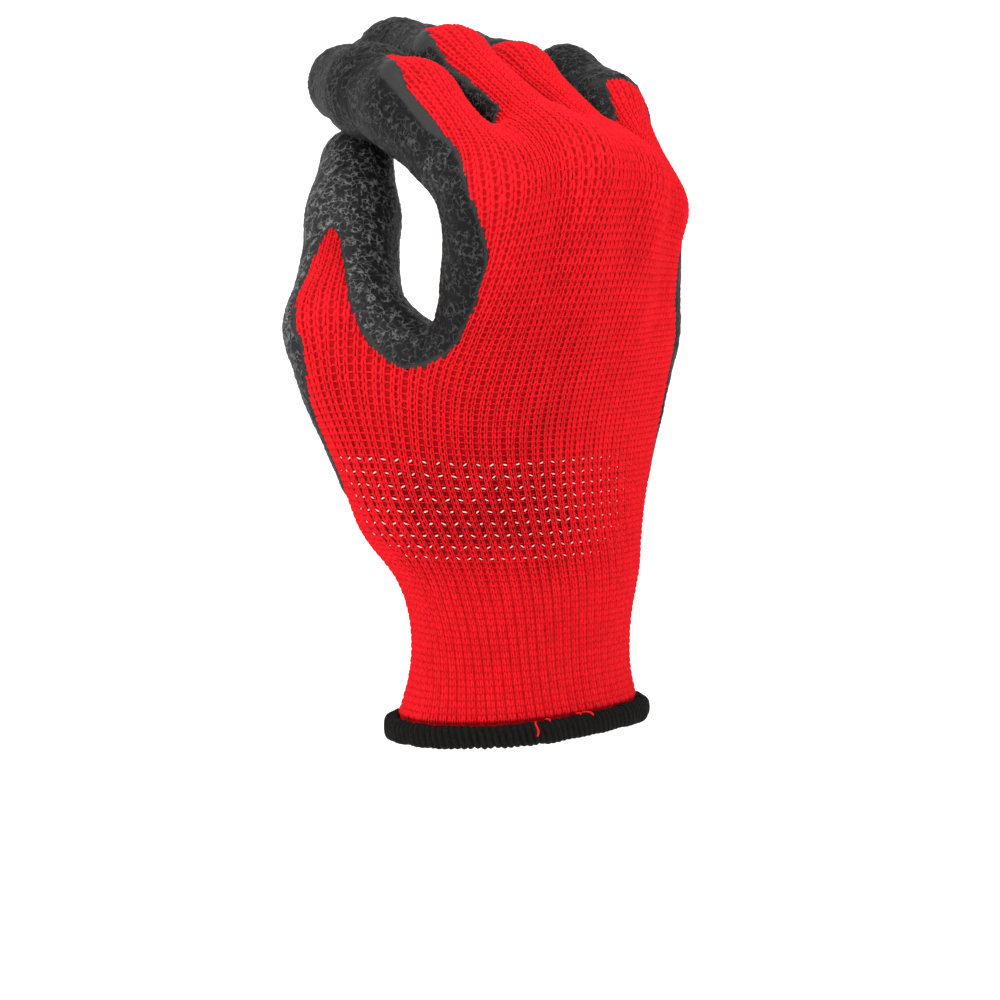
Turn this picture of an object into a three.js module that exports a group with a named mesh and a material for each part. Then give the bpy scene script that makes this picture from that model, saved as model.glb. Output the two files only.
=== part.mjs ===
// A thermal work glove for the right hand, standing as it is worn, with the index finger and thumb pinched.
//
// Frame: millimetres, +Z up the forearm, +Y to the palm side, -X to the thumb side.
// The origin is the middle of the wrist opening, at the lower edge of the hem.
//
// Pieces: knit_liner (one seamless knitted wall with a ribbed cuff), latex_coating (the dipped skin on
// the palm, thumb and fingertips) and hem_overlock (the oversewn edge of the cuff).
//
// The skin of the hand is the zero level of a smooth distance field: rounded limbs from joint to joint,
// blended where they meet. A net of wales (columns of stitches) and courses (rows) is cast onto it.

import * as THREE from 'three';

const LINER_WALL = 1.6;
const COAT_GAP = 0.3;
const COAT_WALL = 1.0;
const RIB_DEPTH = 0.7;
const HEM_HEIGHT = 6.0;
const HEM_THICKNESS = 5.0;
// The hem rolls outward: how far its middle stands out from the liner
const HEM_ROLL = 0.4;
const HEM_GAP = 0.3;
// Corners of the hem's cross-section, in halves of its thickness and height
const HEM_PROFILE = [
  { out: 1, up: 0 },
  { out: 0.62, up: 1 },
  { out: -0.62, up: 1 },
  { out: -1, up: 0 },
  { out: -0.62, up: -1 },
  { out: 0.62, up: -1 },
];
// The cuff widens by this much at its lower end, from this height down
const FLARE = 3.2;
const FLARE_HEIGHT = 20;

// The net: wales on the back of a finger, on its side, and on the back of the thumb
const K = 5;
const W = 2;
const T = 7;
const FINGER_SIDES = 2 * (K + W);
const THUMB_SIDES = 2 * (T + W);
const PALM_END = 8 * K + W;
const UPPER_SIDES = PALM_END + W;
const PALM_SIDES = PALM_END + 2 * T + W;
const RAYS = 240;
const SMOOTHING_PASSES = 12;

// How softly limbs run into each other: in the palm, along a finger, and between fingers
const SOFT_PALM = 5.0;
const SOFT_FINGER = 2.0;
const SOFT_WEB = 1.2;
// Over this length past its web a tube comes to ignore its neighbours, which are pushed off this far
const PART_LENGTH = 15;
const PART_PUSH = 10;

// Joint centres of each digit and the radius of the knitted tube there
const DIGITS = {
  thumb: [
    { joint: 'knuckle', x: -30.4, y: 28.3, z: 101, r: 13.2 },
    { joint: 'last joint', x: -16.6, y: 43, z: 127.5, r: 9.9 },
    { joint: 'tip', x: -8.5, y: 51.8, z: 141, r: 8.3 },
  ],
  index: [
    { joint: 'knuckle', x: -23.5, y: -21, z: 135, r: 9.9 },
    { joint: 'middle joint', x: -22.5, y: 11, z: 155.7, r: 10.5 },
    { joint: 'last joint', x: -18.4, y: 33.1, z: 159.5, r: 9.8 },
    { joint: 'tip', x: -12.8, y: 50.3, z: 161.5, r: 8.9 },
  ],
  middle: [
    { joint: 'knuckle', x: -0.7, y: -22, z: 139.7, r: 9.5 },
    { joint: 'middle joint', x: 3.6, y: 27.9, z: 165.9, r: 9.2 },
    { joint: 'last joint', x: 11.7, y: 60.1, z: 168, r: 8.6 },
    { joint: 'tip', x: 18.1, y: 78.1, z: 165.6, r: 8.0 },
  ],
  ring: [
    { joint: 'knuckle', x: 19.9, y: -18.1, z: 135.8, r: 9.2 },
    { joint: 'middle joint', x: 27, y: 30.1, z: 162.3, r: 8.9 },
    { joint: 'last joint', x: 34.8, y: 61.4, z: 165.5, r: 8.4 },
    { joint: 'tip', x: 41.5, y: 79, z: 162, r: 7.8 },
  ],
  little: [
    { joint: 'knuckle', x: 39.3, y: -7.5, z: 130.3, r: 8.9 },
    { joint: 'middle joint', x: 49.5, y: 19.9, z: 154.1, r: 8.5 },
    { joint: 'last joint', x: 54.7, y: 43, z: 162.2, r: 7.8 },
    { joint: 'tip', x: 58.9, y: 57.2, z: 158.2, r: 7.1 },
  ],
};
const FINGERS = ['index', 'middle', 'ring', 'little'];

// Limbs of the wrist and palm. The thenar ones are the ball of the thumb and the web beside it.
const THUMB_WEB = { from: [-20, -8, 89.5], to: [-29, 20, 89.5] };
const LIMBS = [
  { name: 'wrist, thumb side', group: 'palm', from: [-10.3, -0.5, -14], to: [-8, 0, 36], r0: 20.6, r1: 15.3 },
  { name: 'wrist, middle', group: 'palm', from: [1.5, 0, -14], to: [3, 0, 36], r0: 18.0, r1: 15.0 },
  { name: 'wrist, far side', group: 'palm', from: [13.5, 0, -14], to: [14.5, 0, 36], r0: 20.4, r1: 16.4 },
  { name: 'index bone', group: 'palm', from: [-11, 0, 42], to: [-22.5, -21, 135], r0: 13.5, r1: 10.6 },
  { name: 'middle bone', group: 'palm', from: [-3, -2, 42], to: [-0.5, -22, 139], r0: 13.5, r1: 11.8 },
  { name: 'ring bone', group: 'palm', from: [8, -1, 42], to: [19.5, -18.5, 135], r0: 13.5, r1: 11.5 },
  { name: 'little bone', group: 'palm', from: [17.5, 1, 46], to: [37.8, -7, 128], r0: 16.2, r1: 9.6 },
  { name: 'heel of the hand', group: 'palm', from: [22, 6, 60], to: [36.8, 1, 98], r0: 14.2, r1: 11.6 },
  { name: 'ball of the thumb', group: 'thenar', from: [-19, 8, 62], to: [-30.4, 28.3, 101], r0: 20.5, r1: 14.0 },
  { name: 'thumb web', group: 'thenar', from: THUMB_WEB.from, to: THUMB_WEB.to, r0: 8.5, r1: 9.5 },
];
const WEB_PLACE = 0.26;
const WEB_RADIUS = 5.0;

// Cross-sections of the palm: the middle, the forward bend and side tilt of the plane, the direction of
// the middle of the back, and how far the wales have moved over to the roots of the digits
const SECTIONS = [
  { name: 'hem', x: 1.5, y: 0, z: HEM_HEIGHT + HEM_GAP, bend: 1.5, tilt: 1.7, back: 95, spread: 0 },
  { name: 'wrist', x: 2, y: 0, z: 30, bend: 0, tilt: 0, back: 95, spread: 0 },
  { name: 'heel', x: 0, y: 0, z: 54, bend: 0, tilt: 0, back: 95, spread: 0.15 },
  { name: 'ball', x: -6, y: -1, z: 75, bend: 0, tilt: 0, back: 95, spread: 0.6 },
  { name: 'crotch', x: -14, y: -6, z: 92, bend: 0, tilt: 0, back: 95, spread: 1 },
  { name: 'back', x: 4, y: -13, z: 112, bend: -10, tilt: 0, back: 90, spread: 0 },
  { name: 'knuckles', x: 7, y: -16, z: 134, bend: 20, tilt: 0, back: 90, spread: 0 },
];
const CROTCH = 4;
const KNUCKLES = 6;
// Rows of the net that start at each section, and the lowest rows, which are ribbed
const ROWS = { hem: 2, wrist: 2, heel: 3, ball: 2, crotch: 2, back: 2, knuckles: 2 };
const RIB_ROWS = 4;
// Rows of a digit past its root, counted in joints, and rings of its rounded end
const FINGER_STATIONS = [0.45, 0.75, 1.08, 1.5, 2, 2.5, 3];
const THUMB_STATIONS = [0.3, 0.55, 0.85, 1.2, 1.6, 2];
const CAP_RINGS = 2;

// Edges of the coating on the back of the hand, in finger widths in from the little finger's side and
// from the thumb's web, and on the ball of the thumb, in millimetres round from the web
const COAT_EDGES = [
  { name: 'hem', far: -0.5, near: 0, ball: 40 },
  { name: 'wrist', far: -0.5, near: 0, ball: 36 },
  { name: 'heel', far: -0.4, near: 0, ball: 32 },
  { name: 'ball', far: -0.35, near: 0, ball: 26 },
  { name: 'crotch', far: -0.15, near: 0, ball: 19.5 },
  { name: 'back', far: 0.1, near: 0.5, ball: 22 },
  { name: 'knuckles', far: -0.1, near: 0.3, ball: 27 },
  { name: 'webs', far: -0.1, near: 0.2, ball: 27 },
];
const COAT_LOWEST = 60;
// The coated oval round the gap between thumb and index finger, as seen along its axis
const BAY = { x: -18.6, y: 15.4, z: 116, turn: -40, tilt: 6, halfWidth: 16.6, halfHeight: 25.4 };
const WALE_PITCH = 22 / K;
// Bare strips on the backs of the fingers: degrees round to each side, the distance from the tip, and how
// far out beyond the web the coating starts. They close in toward the tip, and the coating between two
// fingers starts slantwise
const STRIPS = {
  index: { near: 44, far: 84, end: 34, web: 5 },
  middle: { near: 58, far: 55, end: 44, web: 0 },
  ring: { near: 62, far: 55, end: 51, web: 7 },
  little: { near: 20, far: 75, end: 46, web: 5 },
};
const STRIP_POINT = { turn: 30, length: 25, slant: 0.14 };
// The bare wedge on the thumb: its edges in degrees round from the back, by the distance past the web
const WEDGE = [
  { past: 0, low: 70, high: 158 },
  { past: 8, low: 62, high: 118 },
  { past: 16, low: 62, high: 103 },
  { past: 22, low: 70, high: 94 },
  { past: 31, low: 92, high: 66 },
];

const vec = (x, y, z) => new THREE.Vector3(x, y, z);
const along = (from, direction, distance) => from.clone().addScaledVector(direction, distance);
const mix = (a, b, t) => a + (b - a) * t;
const clamp = (x, low, high) => Math.min(Math.max(x, low), high);
const radians = (angle) => angle * Math.PI / 180;
const degrees = (angle) => angle * 180 / Math.PI;
const centre = (row) => vec(row.x, row.y, row.z);

// A limb: the solid swept by a ball that goes from one joint to the next while its radius changes
class Limb {
  constructor(a, b, r0, r1) {
    this.a = a;
    this.r0 = r0;
    this.r1 = r1;
    this.axis = b.clone().sub(a);
    this.l2 = this.axis.lengthSq();
    this.slope = r0 - r1;
    this.a2 = this.l2 - this.slope * this.slope;
  }

  distance(p) {
    const { axis, l2, slope, a2 } = this;
    const dx = p.x - this.a.x;
    const dy = p.y - this.a.y;
    const dz = p.z - this.a.z;
    const y = dx * axis.x + dy * axis.y + dz * axis.z;
    const z = y - l2;
    const ex = dx * l2 - axis.x * y;
    const ey = dy * l2 - axis.y * y;
    const ez = dz * l2 - axis.z * y;
    const x2 = ex * ex + ey * ey + ez * ez;
    const y2 = y * y * l2;
    const z2 = z * z * l2;
    const k = Math.sign(slope) * slope * slope * x2;
    if (Math.sign(z) * a2 * z2 > k) return Math.sqrt(x2 + z2) / l2 - this.r1;
    if (Math.sign(y) * a2 * y2 < k) return Math.sqrt(x2 + y2) / l2 - this.r0;
    return (Math.sqrt(x2 * a2 / l2) + y * slope) / l2 - this.r0;
  }
}

// The smooth smallest of several distances, by the logarithm of a sum of exponentials
function blend(distances, softness) {
  const least = Math.min(...distances);
  let sum = 0;
  for (const d of distances) sum += Math.exp((least - d) / softness);
  return least - softness * Math.log(sum);
}

const rootOf = (name) => centre(DIGITS[name][0]).lerp(centre(DIGITS[name][1]), WEB_PLACE);

const limbsOf = (group) => LIMBS.filter((row) => row.group === group)
  .map((row) => new Limb(vec(...row.from), vec(...row.to), row.r0, row.r1));

// The flesh that joins the roots of neighbouring fingers
const FINGER_WEBS = FINGERS.slice(1).map((name, i) => {
  return new Limb(rootOf(FINGERS[i]), rootOf(name), WEB_RADIUS, WEB_RADIUS);
});
const PALM = [...limbsOf('palm'), ...FINGER_WEBS];
const THENAR = limbsOf('thenar');
const CHAINS = Object.fromEntries(Object.entries(DIGITS).map(([name, joints]) => {
  const limbs = joints.slice(1).map((end, i) => new Limb(centre(joints[i]), centre(end), joints[i].r, end.r));
  return [name, limbs];
}));

// Signed distance to the skin. Groups of limbs named in `away` are pushed off by that distance.
function field(p, away) {
  const palm = PALM.map((limb) => limb.distance(p));
  const push = away.thenar ?? 0;
  for (const limb of THENAR) palm.push(limb.distance(p) + push);
  const parts = [blend(palm, SOFT_PALM)];
  for (const name in CHAINS) {
    const gap = away[name] ?? 0;
    if (gap > PART_PUSH) continue;
    parts.push(blend(CHAINS[name].map((limb) => limb.distance(p)), SOFT_FINGER) + gap);
  }
  return blend(parts, SOFT_WEB) - FLARE * Math.max(1 - p.z / FLARE_HEIGHT, 0) ** 2;
}

const TOGETHER = {};

// What a tube ignores at a distance past its web: the palm ignores the thumb and its ball, and each
// digit ignores the others
function apart(tube, distance) {
  const share = distance / PART_LENGTH;
  const push = share >= 1 ? 2 * PART_PUSH : PART_PUSH * Math.max(share, 0);
  if (tube === 'palm') return { thenar: push, thumb: push };
  const others = Object.keys(DIGITS).filter((name) => name !== tube);
  const away = Object.fromEntries(others.map((name) => [name, push]));
  if (tube !== 'thumb') away.thenar = 2 * PART_PUSH;
  return away;
}

// Walks out from inside the hand along a direction until the skin
function cast(origin, direction, away) {
  const p = origin.clone();
  for (let step = 0; step < 60; step++) {
    const f = field(p, away);
    p.addScaledVector(direction, -f);
    if (Math.abs(f) < 1e-4) break;
  }
  return p;
}

function normalAt(p, away) {
  const h = 0.05;
  const slope = (axis) => field(along(p, axis, h), away) - field(along(p, axis, -h), away);
  return vec(slope(vec(1, 0, 0)), slope(vec(0, 1, 0)), slope(vec(0, 0, 1))).normalize();
}

// Moves a point near the skin straight onto it
function settle(p, away) {
  const q = p.clone();
  for (let step = 0; step < 3; step++) q.addScaledVector(normalAt(q, away), -field(q, away));
  return q;
}

// Smooth curve value through a list of numbers at a place counted in rows of the list
function throughRows(values, row) {
  const last = values.length - 1;
  const i = clamp(Math.floor(row), 0, last - 1);
  const t = row - i;
  const p1 = values[i];
  const p2 = values[i + 1];
  const p0 = i > 0 ? values[i - 1] : 2 * p1 - p2;
  const p3 = i < last - 1 ? values[i + 2] : 2 * p2 - p1;
  return p1 + 0.5 * t * (p2 - p0 + t * (2 * p0 - 5 * p1 + 4 * p2 - p3 + t * (3 * (p1 - p2) + p3 - p0)));
}

// Across to the little finger, to the palm side and up the hand, for the plane of a section
function sectionAxes(section) {
  const turn = new THREE.Euler(-radians(section.bend), -radians(section.tilt), 0);
  return {
    across: vec(1, 0, 0).applyEuler(turn),
    palmward: vec(0, 1, 0).applyEuler(turn),
    up: vec(0, 0, 1).applyEuler(turn),
  };
}

// Directions in a section go round from the thumb side over the back of the hand
function around(axes, angle) {
  return along(axes.across.clone().multiplyScalar(-Math.cos(angle)), axes.palmward, -Math.sin(angle));
}

// The closed outline of a section as even rays, with the share of its length reached at each ray
function outline(section, away) {
  const axes = sectionAxes(section);
  const points = [];
  for (let i = 0; i <= RAYS; i++) {
    points.push(cast(centre(section), around(axes, 2 * Math.PI * i / RAYS), away));
  }
  const reached = [0];
  for (let i = 1; i <= RAYS; i++) reached.push(reached[i - 1] + points[i].distanceTo(points[i - 1]));
  return { section, axes, away, points, shares: reached.map((length) => length / reached[RAYS]) };
}

function shareAtAngle(ring, angle) {
  const ray = angle / 360 * RAYS;
  const i = Math.floor(ray);
  return mix(ring.shares[i], ring.shares[i + 1], ray - i);
}

function shareNear(ring, target) {
  let best = 0;
  for (let i = 1; i < RAYS; i++) {
    if (ring.points[i].distanceToSquared(target) < ring.points[best].distanceToSquared(target)) best = i;
  }
  return ring.shares[best];
}

function pointAtShare(ring, share) {
  const s = share - Math.floor(share);
  let i = 1;
  while (i < RAYS && ring.shares[i] < s) i++;
  const t = (s - ring.shares[i - 1]) / Math.max(ring.shares[i] - ring.shares[i - 1], 1e-9);
  return cast(centre(ring.section), around(ring.axes, 2 * Math.PI * (i - 1 + t) / RAYS), ring.away);
}

// Shares of all wales from a few anchors [wale, share], always rising round the outline
function spreadShares(anchors, count) {
  const rising = anchors.map((anchor) => [...anchor]);
  for (let i = 1; i < rising.length; i++) {
    while (rising[i][1] < rising[i - 1][1]) rising[i][1] += 1;
  }
  rising.push([count, rising[0][1] + 1]);
  const shares = [];
  for (let wale = 0; wale < count; wale++) {
    let i = 1;
    while (rising[i][0] < wale) i++;
    const t = (wale - rising[i - 1][0]) / (rising[i][0] - rising[i - 1][0]);
    shares.push(mix(rising[i - 1][1], rising[i][1], t));
  }
  return shares;
}

// The web between thumb and palm: a middle inside it, and the way to its back and to its ridge
const webMiddle = vec(...THUMB_WEB.from).lerp(vec(...THUMB_WEB.to), 0.5);
const webRidge = vec(0, 0, 1);
const webBack = webRidge.clone().cross(vec(...THUMB_WEB.to).sub(vec(...THUMB_WEB.from))).normalize();

// A point of the skin over a web, from its back (0) over its ridge to its front (1)
function ridgePoint(middle, back, ridge, t) {
  const angle = Math.PI * t;
  return cast(middle, along(back.clone().multiplyScalar(Math.cos(angle)), ridge, Math.sin(angle)), TOGETHER);
}

// Rings of the lower hand, hem to crotch. The wales are even round the wrist and, toward the crotch,
// gather at the thumb's web and at the side of the little finger.
function lowerRings() {
  const crotch = outline(SECTIONS[CROTCH], TOGETHER);
  const side = W / PALM_SIDES;
  const far = shareAtAngle(crotch, 176);
  const gathered = spreadShares([
    [0, shareNear(crotch, ridgePoint(webMiddle, webBack, webRidge, 0))],
    [4 * K, far - side / 2],
    [4 * K + W, far + side / 2],
    [PALM_END, shareNear(crotch, ridgePoint(webMiddle, webBack, webRidge, 1))],
  ], PALM_SIDES);
  return SECTIONS.slice(0, CROTCH + 1).map((section) => {
    const ring = outline(section, TOGETHER);
    const start = shareAtAngle(ring, section.back) - 2 * K / PALM_SIDES;
    return gathered.map((share, wale) => {
      const even = start + wale / PALM_SIDES;
      const pulled = share + Math.round(even - share);
      return pointAtShare(ring, mix(even, pulled, section.spread));
    });
  });
}

function upperRings() {
  return SECTIONS.slice(CROTCH + 1).map((section) => {
    const ring = outline(section, apart('palm', PART_LENGTH));
    const start = shareAtAngle(ring, section.back) - 2 * K / UPPER_SIDES;
    return Array.from({ length: UPPER_SIDES }, (_, wale) => pointAtShare(ring, start + wale / UPPER_SIDES));
  });
}

// A digit's axes at a station counted in joints: its line, its back and its side. The thumb's back is
// the side away from its web.
function digitAxes(name, station) {
  const joints = DIGITS[name].map(centre);
  const i = clamp(Math.floor(station), 0, joints.length - 2);
  const middle = joints[i].clone().lerp(joints[i + 1], station - i);
  const curve = new THREE.CatmullRomCurve3(joints, false, 'catmullrom', 0.5);
  const line = curve.getTangent(clamp(station / (joints.length - 1), 0, 1));
  const back = name === 'thumb' ? joints[0].clone().sub(webMiddle) : vec(1, 0, 0).cross(line);
  back.addScaledVector(line, -back.dot(line)).normalize();
  return { middle, line, back, side: line.clone().cross(back) };
}

// Angle of a wale round a digit from its back
function waleAngle(name, wale) {
  const thumb = name === 'thumb';
  const start = thumb ? T + W / 2 : K / 2;
  return 2 * Math.PI * (wale - start) / (thumb ? THUMB_SIDES : FINGER_SIDES);
}

// The skin at an angle round a digit; for its rounded end the direction rises from the ring to the tip
function digitPoint(axes, angle, rise, away) {
  const flat = along(axes.back.clone().multiplyScalar(Math.cos(angle)), axes.side, Math.sin(angle));
  return cast(axes.middle, along(flat.multiplyScalar(Math.cos(rise)), axes.line, Math.sin(rise)), away);
}

// The ring where the fingers part: each finger's own wales, and shared ones beside the webs
function webRing() {
  const axes = FINGERS.map((name) => digitAxes(name, WEB_PLACE));
  const own = (f, wale) => digitPoint(axes[f], waleAngle(FINGERS[f], wale), 0, TOGETHER);
  const webs = [0, 1, 2].map((f) => ({
    middle: rootOf(FINGERS[f]).lerp(rootOf(FINGERS[f + 1]), 0.5),
    back: axes[f].back.clone().add(axes[f + 1].back).normalize(),
    ridge: axes[f].line.clone().add(axes[f + 1].line).normalize(),
  }));
  const over = (f, t) => ridgePoint(webs[f].middle, webs[f].back, webs[f].ridge, t);
  const ring = [];
  for (let wale = 0; wale < UPPER_SIDES; wale++) {
    const onBack = wale <= 4 * K;
    const fromNear = onBack ? wale : PALM_END - wale;
    const f = clamp(Math.floor(fromNear / K), 0, 3);
    const shared = fromNear > 0 && fromNear < 4 * K && fromNear % K === 0;
    if (wale > 4 * K && wale < 4 * K + W) ring.push(own(3, K + wale - 4 * K));
    else if (wale > PALM_END) ring.push(own(0, 2 * K + W + wale - PALM_END));
    else if (shared) ring.push(over(f - 1, onBack ? 0 : 1));
    else if (onBack) ring.push(own(f, fromNear - f * K));
    else ring.push(own(f, 2 * K + W - (fromNear - f * K)));
  }
  const ridges = webs.map((_, f) => Array.from({ length: W - 1 }, (_, j) => over(f, (j + 1) / W)));
  return { ring, ridges };
}

const edgeAt = (key, row) => throughRows(COAT_EDGES.map((edges) => edges[key]), row);

// How far inside the coating a place of the lower hand lies, in millimetres
function lowerCoat(row, wale, p) {
  const far = (wale - 4 * K) * WALE_PITCH + edgeAt('far', row) * WALE_PITCH * K;
  const near = (PALM_SIDES - wale) * WALE_PITCH - edgeAt('ball', row);
  return Math.min(far, near, p.z - COAT_LOWEST);
}

function upperCoat(row, wale) {
  const near = (edgeAt('near', row) * K - wale) * WALE_PITCH;
  const far = (wale - 4 * K) * WALE_PITCH + edgeAt('far', row) * WALE_PITCH * K;
  return Math.max(near, far);
}

function fingerCoat(name, angle, fromWeb, toTip) {
  const strip = STRIPS[name];
  const turn = degrees(Math.atan2(Math.sin(angle), Math.cos(angle)));
  const outside = (name === 'index' && turn < 0) || (name === 'little' && turn > 0);
  const closing = STRIP_POINT.turn * clamp(1 - (toTip - strip.end) / STRIP_POINT.length, 0, 1);
  const side = radians(Math.abs(turn) - (turn < 0 ? strip.near : strip.far) + closing) * DIGITS[name][1].r;
  const slant = Math.abs(turn) - 90;
  const web = fromWeb - strip.web + slant * (slant > 0 ? 0.35 : STRIP_POINT.slant);
  return Math.max(outside ? side : Math.min(side, web), strip.end - toTip);
}

function thumbCoat(angle, fromWeb) {
  const last = WEDGE.length - 1;
  const past = Math.min(fromWeb, WEDGE[last].past);
  const i = Math.max(WEDGE.findIndex((row) => row.past >= past), 1);
  const t = (past - WEDGE[i - 1].past) / (WEDGE[i].past - WEDGE[i - 1].past);
  const low = mix(WEDGE[i - 1].low, WEDGE[i].low, t);
  const high = mix(WEDGE[i - 1].high, WEDGE[i].high, t);
  return radians(Math.max(low - degrees(angle), degrees(angle) - high)) * DIGITS.thumb[0].r;
}

// How far inside the coated oval a place lies
function bayCoat(p) {
  const turn = radians(BAY.turn);
  const tilt = radians(BAY.tilt);
  const across = vec(Math.cos(turn), Math.sin(turn), 0);
  const upward = vec(-Math.sin(turn) * Math.sin(tilt), Math.cos(turn) * Math.sin(tilt), Math.cos(tilt));
  const q = p.clone().sub(centre(BAY));
  const share = Math.hypot(q.dot(across) / BAY.halfWidth, q.dot(upward) / BAY.halfHeight);
  return (1 - share) * BAY.halfWidth;
}

// The net: points, what each ignores, how far each lies inside the coating, and the cells between them
const points = [];
const ignored = [];
const coated = [];
const cells = [];
const lowerRows = [];

function addPoint(p, away, coat) {
  points.push(p);
  ignored.push(away);
  coated.push(coat);
  return points.length - 1;
}

function addBand(lower, upper) {
  for (let i = 0; i < lower.length; i++) {
    const j = (i + 1) % lower.length;
    cells.push([lower[i], lower[j], upper[j], upper[i]]);
  }
}

// Adds the rows of a digit above its root ring, and its rounded end
function addDigit(name, root, stations, firstStation) {
  const last = DIGITS[name][DIGITS[name].length - 1];
  const coatOf = (...rest) => (name === 'thumb' ? thumbCoat(...rest) : fingerCoat(name, ...rest));
  let lower = root;
  const addRing = (axes, rise, away, fromWeb, toTip) => {
    const ring = root.map((_, wale) => {
      const angle = waleAngle(name, wale);
      return addPoint(digitPoint(axes, angle, rise, away), away, coatOf(angle, fromWeb, toTip));
    });
    addBand(lower, ring);
    lower = ring;
  };
  let fromWeb = 0;
  let { middle } = digitAxes(name, firstStation);
  for (const station of stations) {
    const axes = digitAxes(name, station);
    fromWeb += axes.middle.distanceTo(middle);
    middle = axes.middle;
    addRing(axes, 0, apart(name, fromWeb), fromWeb, middle.distanceTo(centre(last)) + last.r);
  }
  const axes = digitAxes(name, stations[stations.length - 1]);
  const away = apart(name, fromWeb);
  for (let cap = 1; cap <= CAP_RINGS; cap++) {
    const rise = Math.PI / 2 * cap / (CAP_RINGS + 1);
    addRing(axes, rise, away, fromWeb, last.r * (1 - Math.sin(rise)));
  }
  const pole = addPoint(cast(axes.middle, axes.line, away), away, coatOf(0, fromWeb, 0));
  lower.forEach((a, i) => cells.push([a, lower[(i + 1) % lower.length], pole]));
}

function blendRings(rings, row) {
  return rings[0].map((_, wale) => vec(
    throughRows(rings.map((ring) => ring[wale].x), row),
    throughRows(rings.map((ring) => ring[wale].y), row),
    throughRows(rings.map((ring) => ring[wale].z), row),
  ));
}

// Places of the rows between two sections, counted in sections
function rowPlaces(first, last) {
  const rows = [];
  for (let s = first; s < last; s++) {
    const count = ROWS[SECTIONS[s].name];
    for (let i = 0; i < count; i++) rows.push(s + i / count);
  }
  return [...rows, last];
}

function addLowerHand() {
  const rings = lowerRings();
  for (const row of rowPlaces(0, CROTCH)) {
    const ring = blendRings(rings, row).map((p, wale) => {
      const q = row === 0 ? p : settle(p, TOGETHER);
      return addPoint(q, TOGETHER, lowerCoat(row, wale, q));
    });
    if (lowerRows.length) addBand(lowerRows[lowerRows.length - 1], ring);
    lowerRows.push(ring);
  }
  return lowerRows[lowerRows.length - 1];
}

function addUpperHand(root) {
  const webs = webRing();
  const rings = [root.map((index) => points[index]), ...upperRings(), webs.ring];
  let lower = root;
  for (const row of rowPlaces(CROTCH, KNUCKLES + 1).slice(1)) {
    const away = apart('palm', (row - CROTCH) * PART_LENGTH);
    const ring = blendRings(rings, row - CROTCH).map((p, wale) => {
      return addPoint(settle(p, away), away, upperCoat(row, wale));
    });
    addBand(lower, ring);
    lower = ring;
  }
  const away = apart('palm', PART_LENGTH);
  const ridges = webs.ridges.map((ridge) => ridge.map((p, j) => addPoint(p, away, mix(-9, 3, (j + 1) / W))));
  return { ring: lower, ridges };
}

// The wales that one finger takes from the ring at the webs, closed by the ridges beside it
function fingerRoot(f, ring, ridges) {
  const back = ring.slice(f * K, (f + 1) * K + 1);
  const front = ring.slice(PALM_END - (f + 1) * K, PALM_END - f * K + 1);
  const farSide = f === 3 ? ring.slice(4 * K + 1, 4 * K + W) : ridges[f];
  const nearSide = f === 0 ? ring.slice(PALM_END + 1) : [...ridges[f - 1]].reverse();
  return [...back, ...farSide, ...front, ...nearSide];
}

function buildNet() {
  const crotch = addLowerHand();
  const ridge = Array.from({ length: W - 1 }, (_, j) => {
    return addPoint(ridgePoint(webMiddle, webBack, webRidge, (j + 1) / W), TOGETHER, WEB_RADIUS);
  });
  const { ring, ridges } = addUpperHand([...crotch.slice(0, PALM_END + 1), ...[...ridge].reverse()]);
  FINGERS.forEach((name, f) => addDigit(name, fingerRoot(f, ring, ridges), FINGER_STATIONS, WEB_PLACE));
  addDigit('thumb', [...crotch.slice(PALM_END), crotch[0], ...ridge], THUMB_STATIONS, 0);
}

// Evens out the net: each point moves toward the middle of its neighbours and back onto the skin
function relax() {
  const neighbours = points.map(() => new Set());
  for (const cell of cells) {
    cell.forEach((a, i) => {
      const b = cell[(i + 1) % cell.length];
      neighbours[a].add(b);
      neighbours[b].add(a);
    });
  }
  const fixed = new Set(lowerRows[0]);
  for (let pass = 0; pass < SMOOTHING_PASSES; pass++) {
    const moved = points.map((p, i) => {
      if (fixed.has(i)) return p.clone();
      const middle = vec(0, 0, 0);
      for (const j of neighbours[i]) middle.add(points[j]);
      middle.divideScalar(neighbours[i].size);
      return settle(p.clone().lerp(middle, 0.6), ignored[i]);
    });
    moved.forEach((p, i) => points[i].copy(p));
  }
}

buildNet();
relax();
points.forEach((p, i) => {
  coated[i] = Math.max(coated[i], bayCoat(p));
});
const normals = points.map((p, i) => normalAt(p, ignored[i]));

// Two triangles of a four-sided cell, cut along its shorter diagonal
function cellTriangles(cell) {
  if (cell.length === 3) return [cell];
  const [a, b, c, d] = cell;
  if (points[a].distanceTo(points[c]) <= points[b].distanceTo(points[d])) return [[a, b, c], [a, c, d]];
  return [[a, b, d], [b, c, d]];
}

// A closed faceted solid
class Shell {
  constructor() {
    this.vertices = [];
    this.faces = [];
  }

  vertex(p) {
    this.vertices.push(p);
    return this.vertices.length - 1;
  }

  quad(a, b, c, d) {
    this.faces.push([a, b, c], [a, c, d]);
  }

  mesh(name, material) {
    const geometry = new THREE.BufferGeometry();
    const positions = this.vertices.flatMap((p) => [p.x, p.y, p.z]);
    geometry.setAttribute('position', new THREE.Float32BufferAttribute(positions, 3));
    geometry.setIndex(this.faces.flat());
    geometry.computeVertexNormals();
    const mesh = new THREE.Mesh(geometry, material);
    mesh.name = name;
    return mesh;
  }
}

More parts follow.
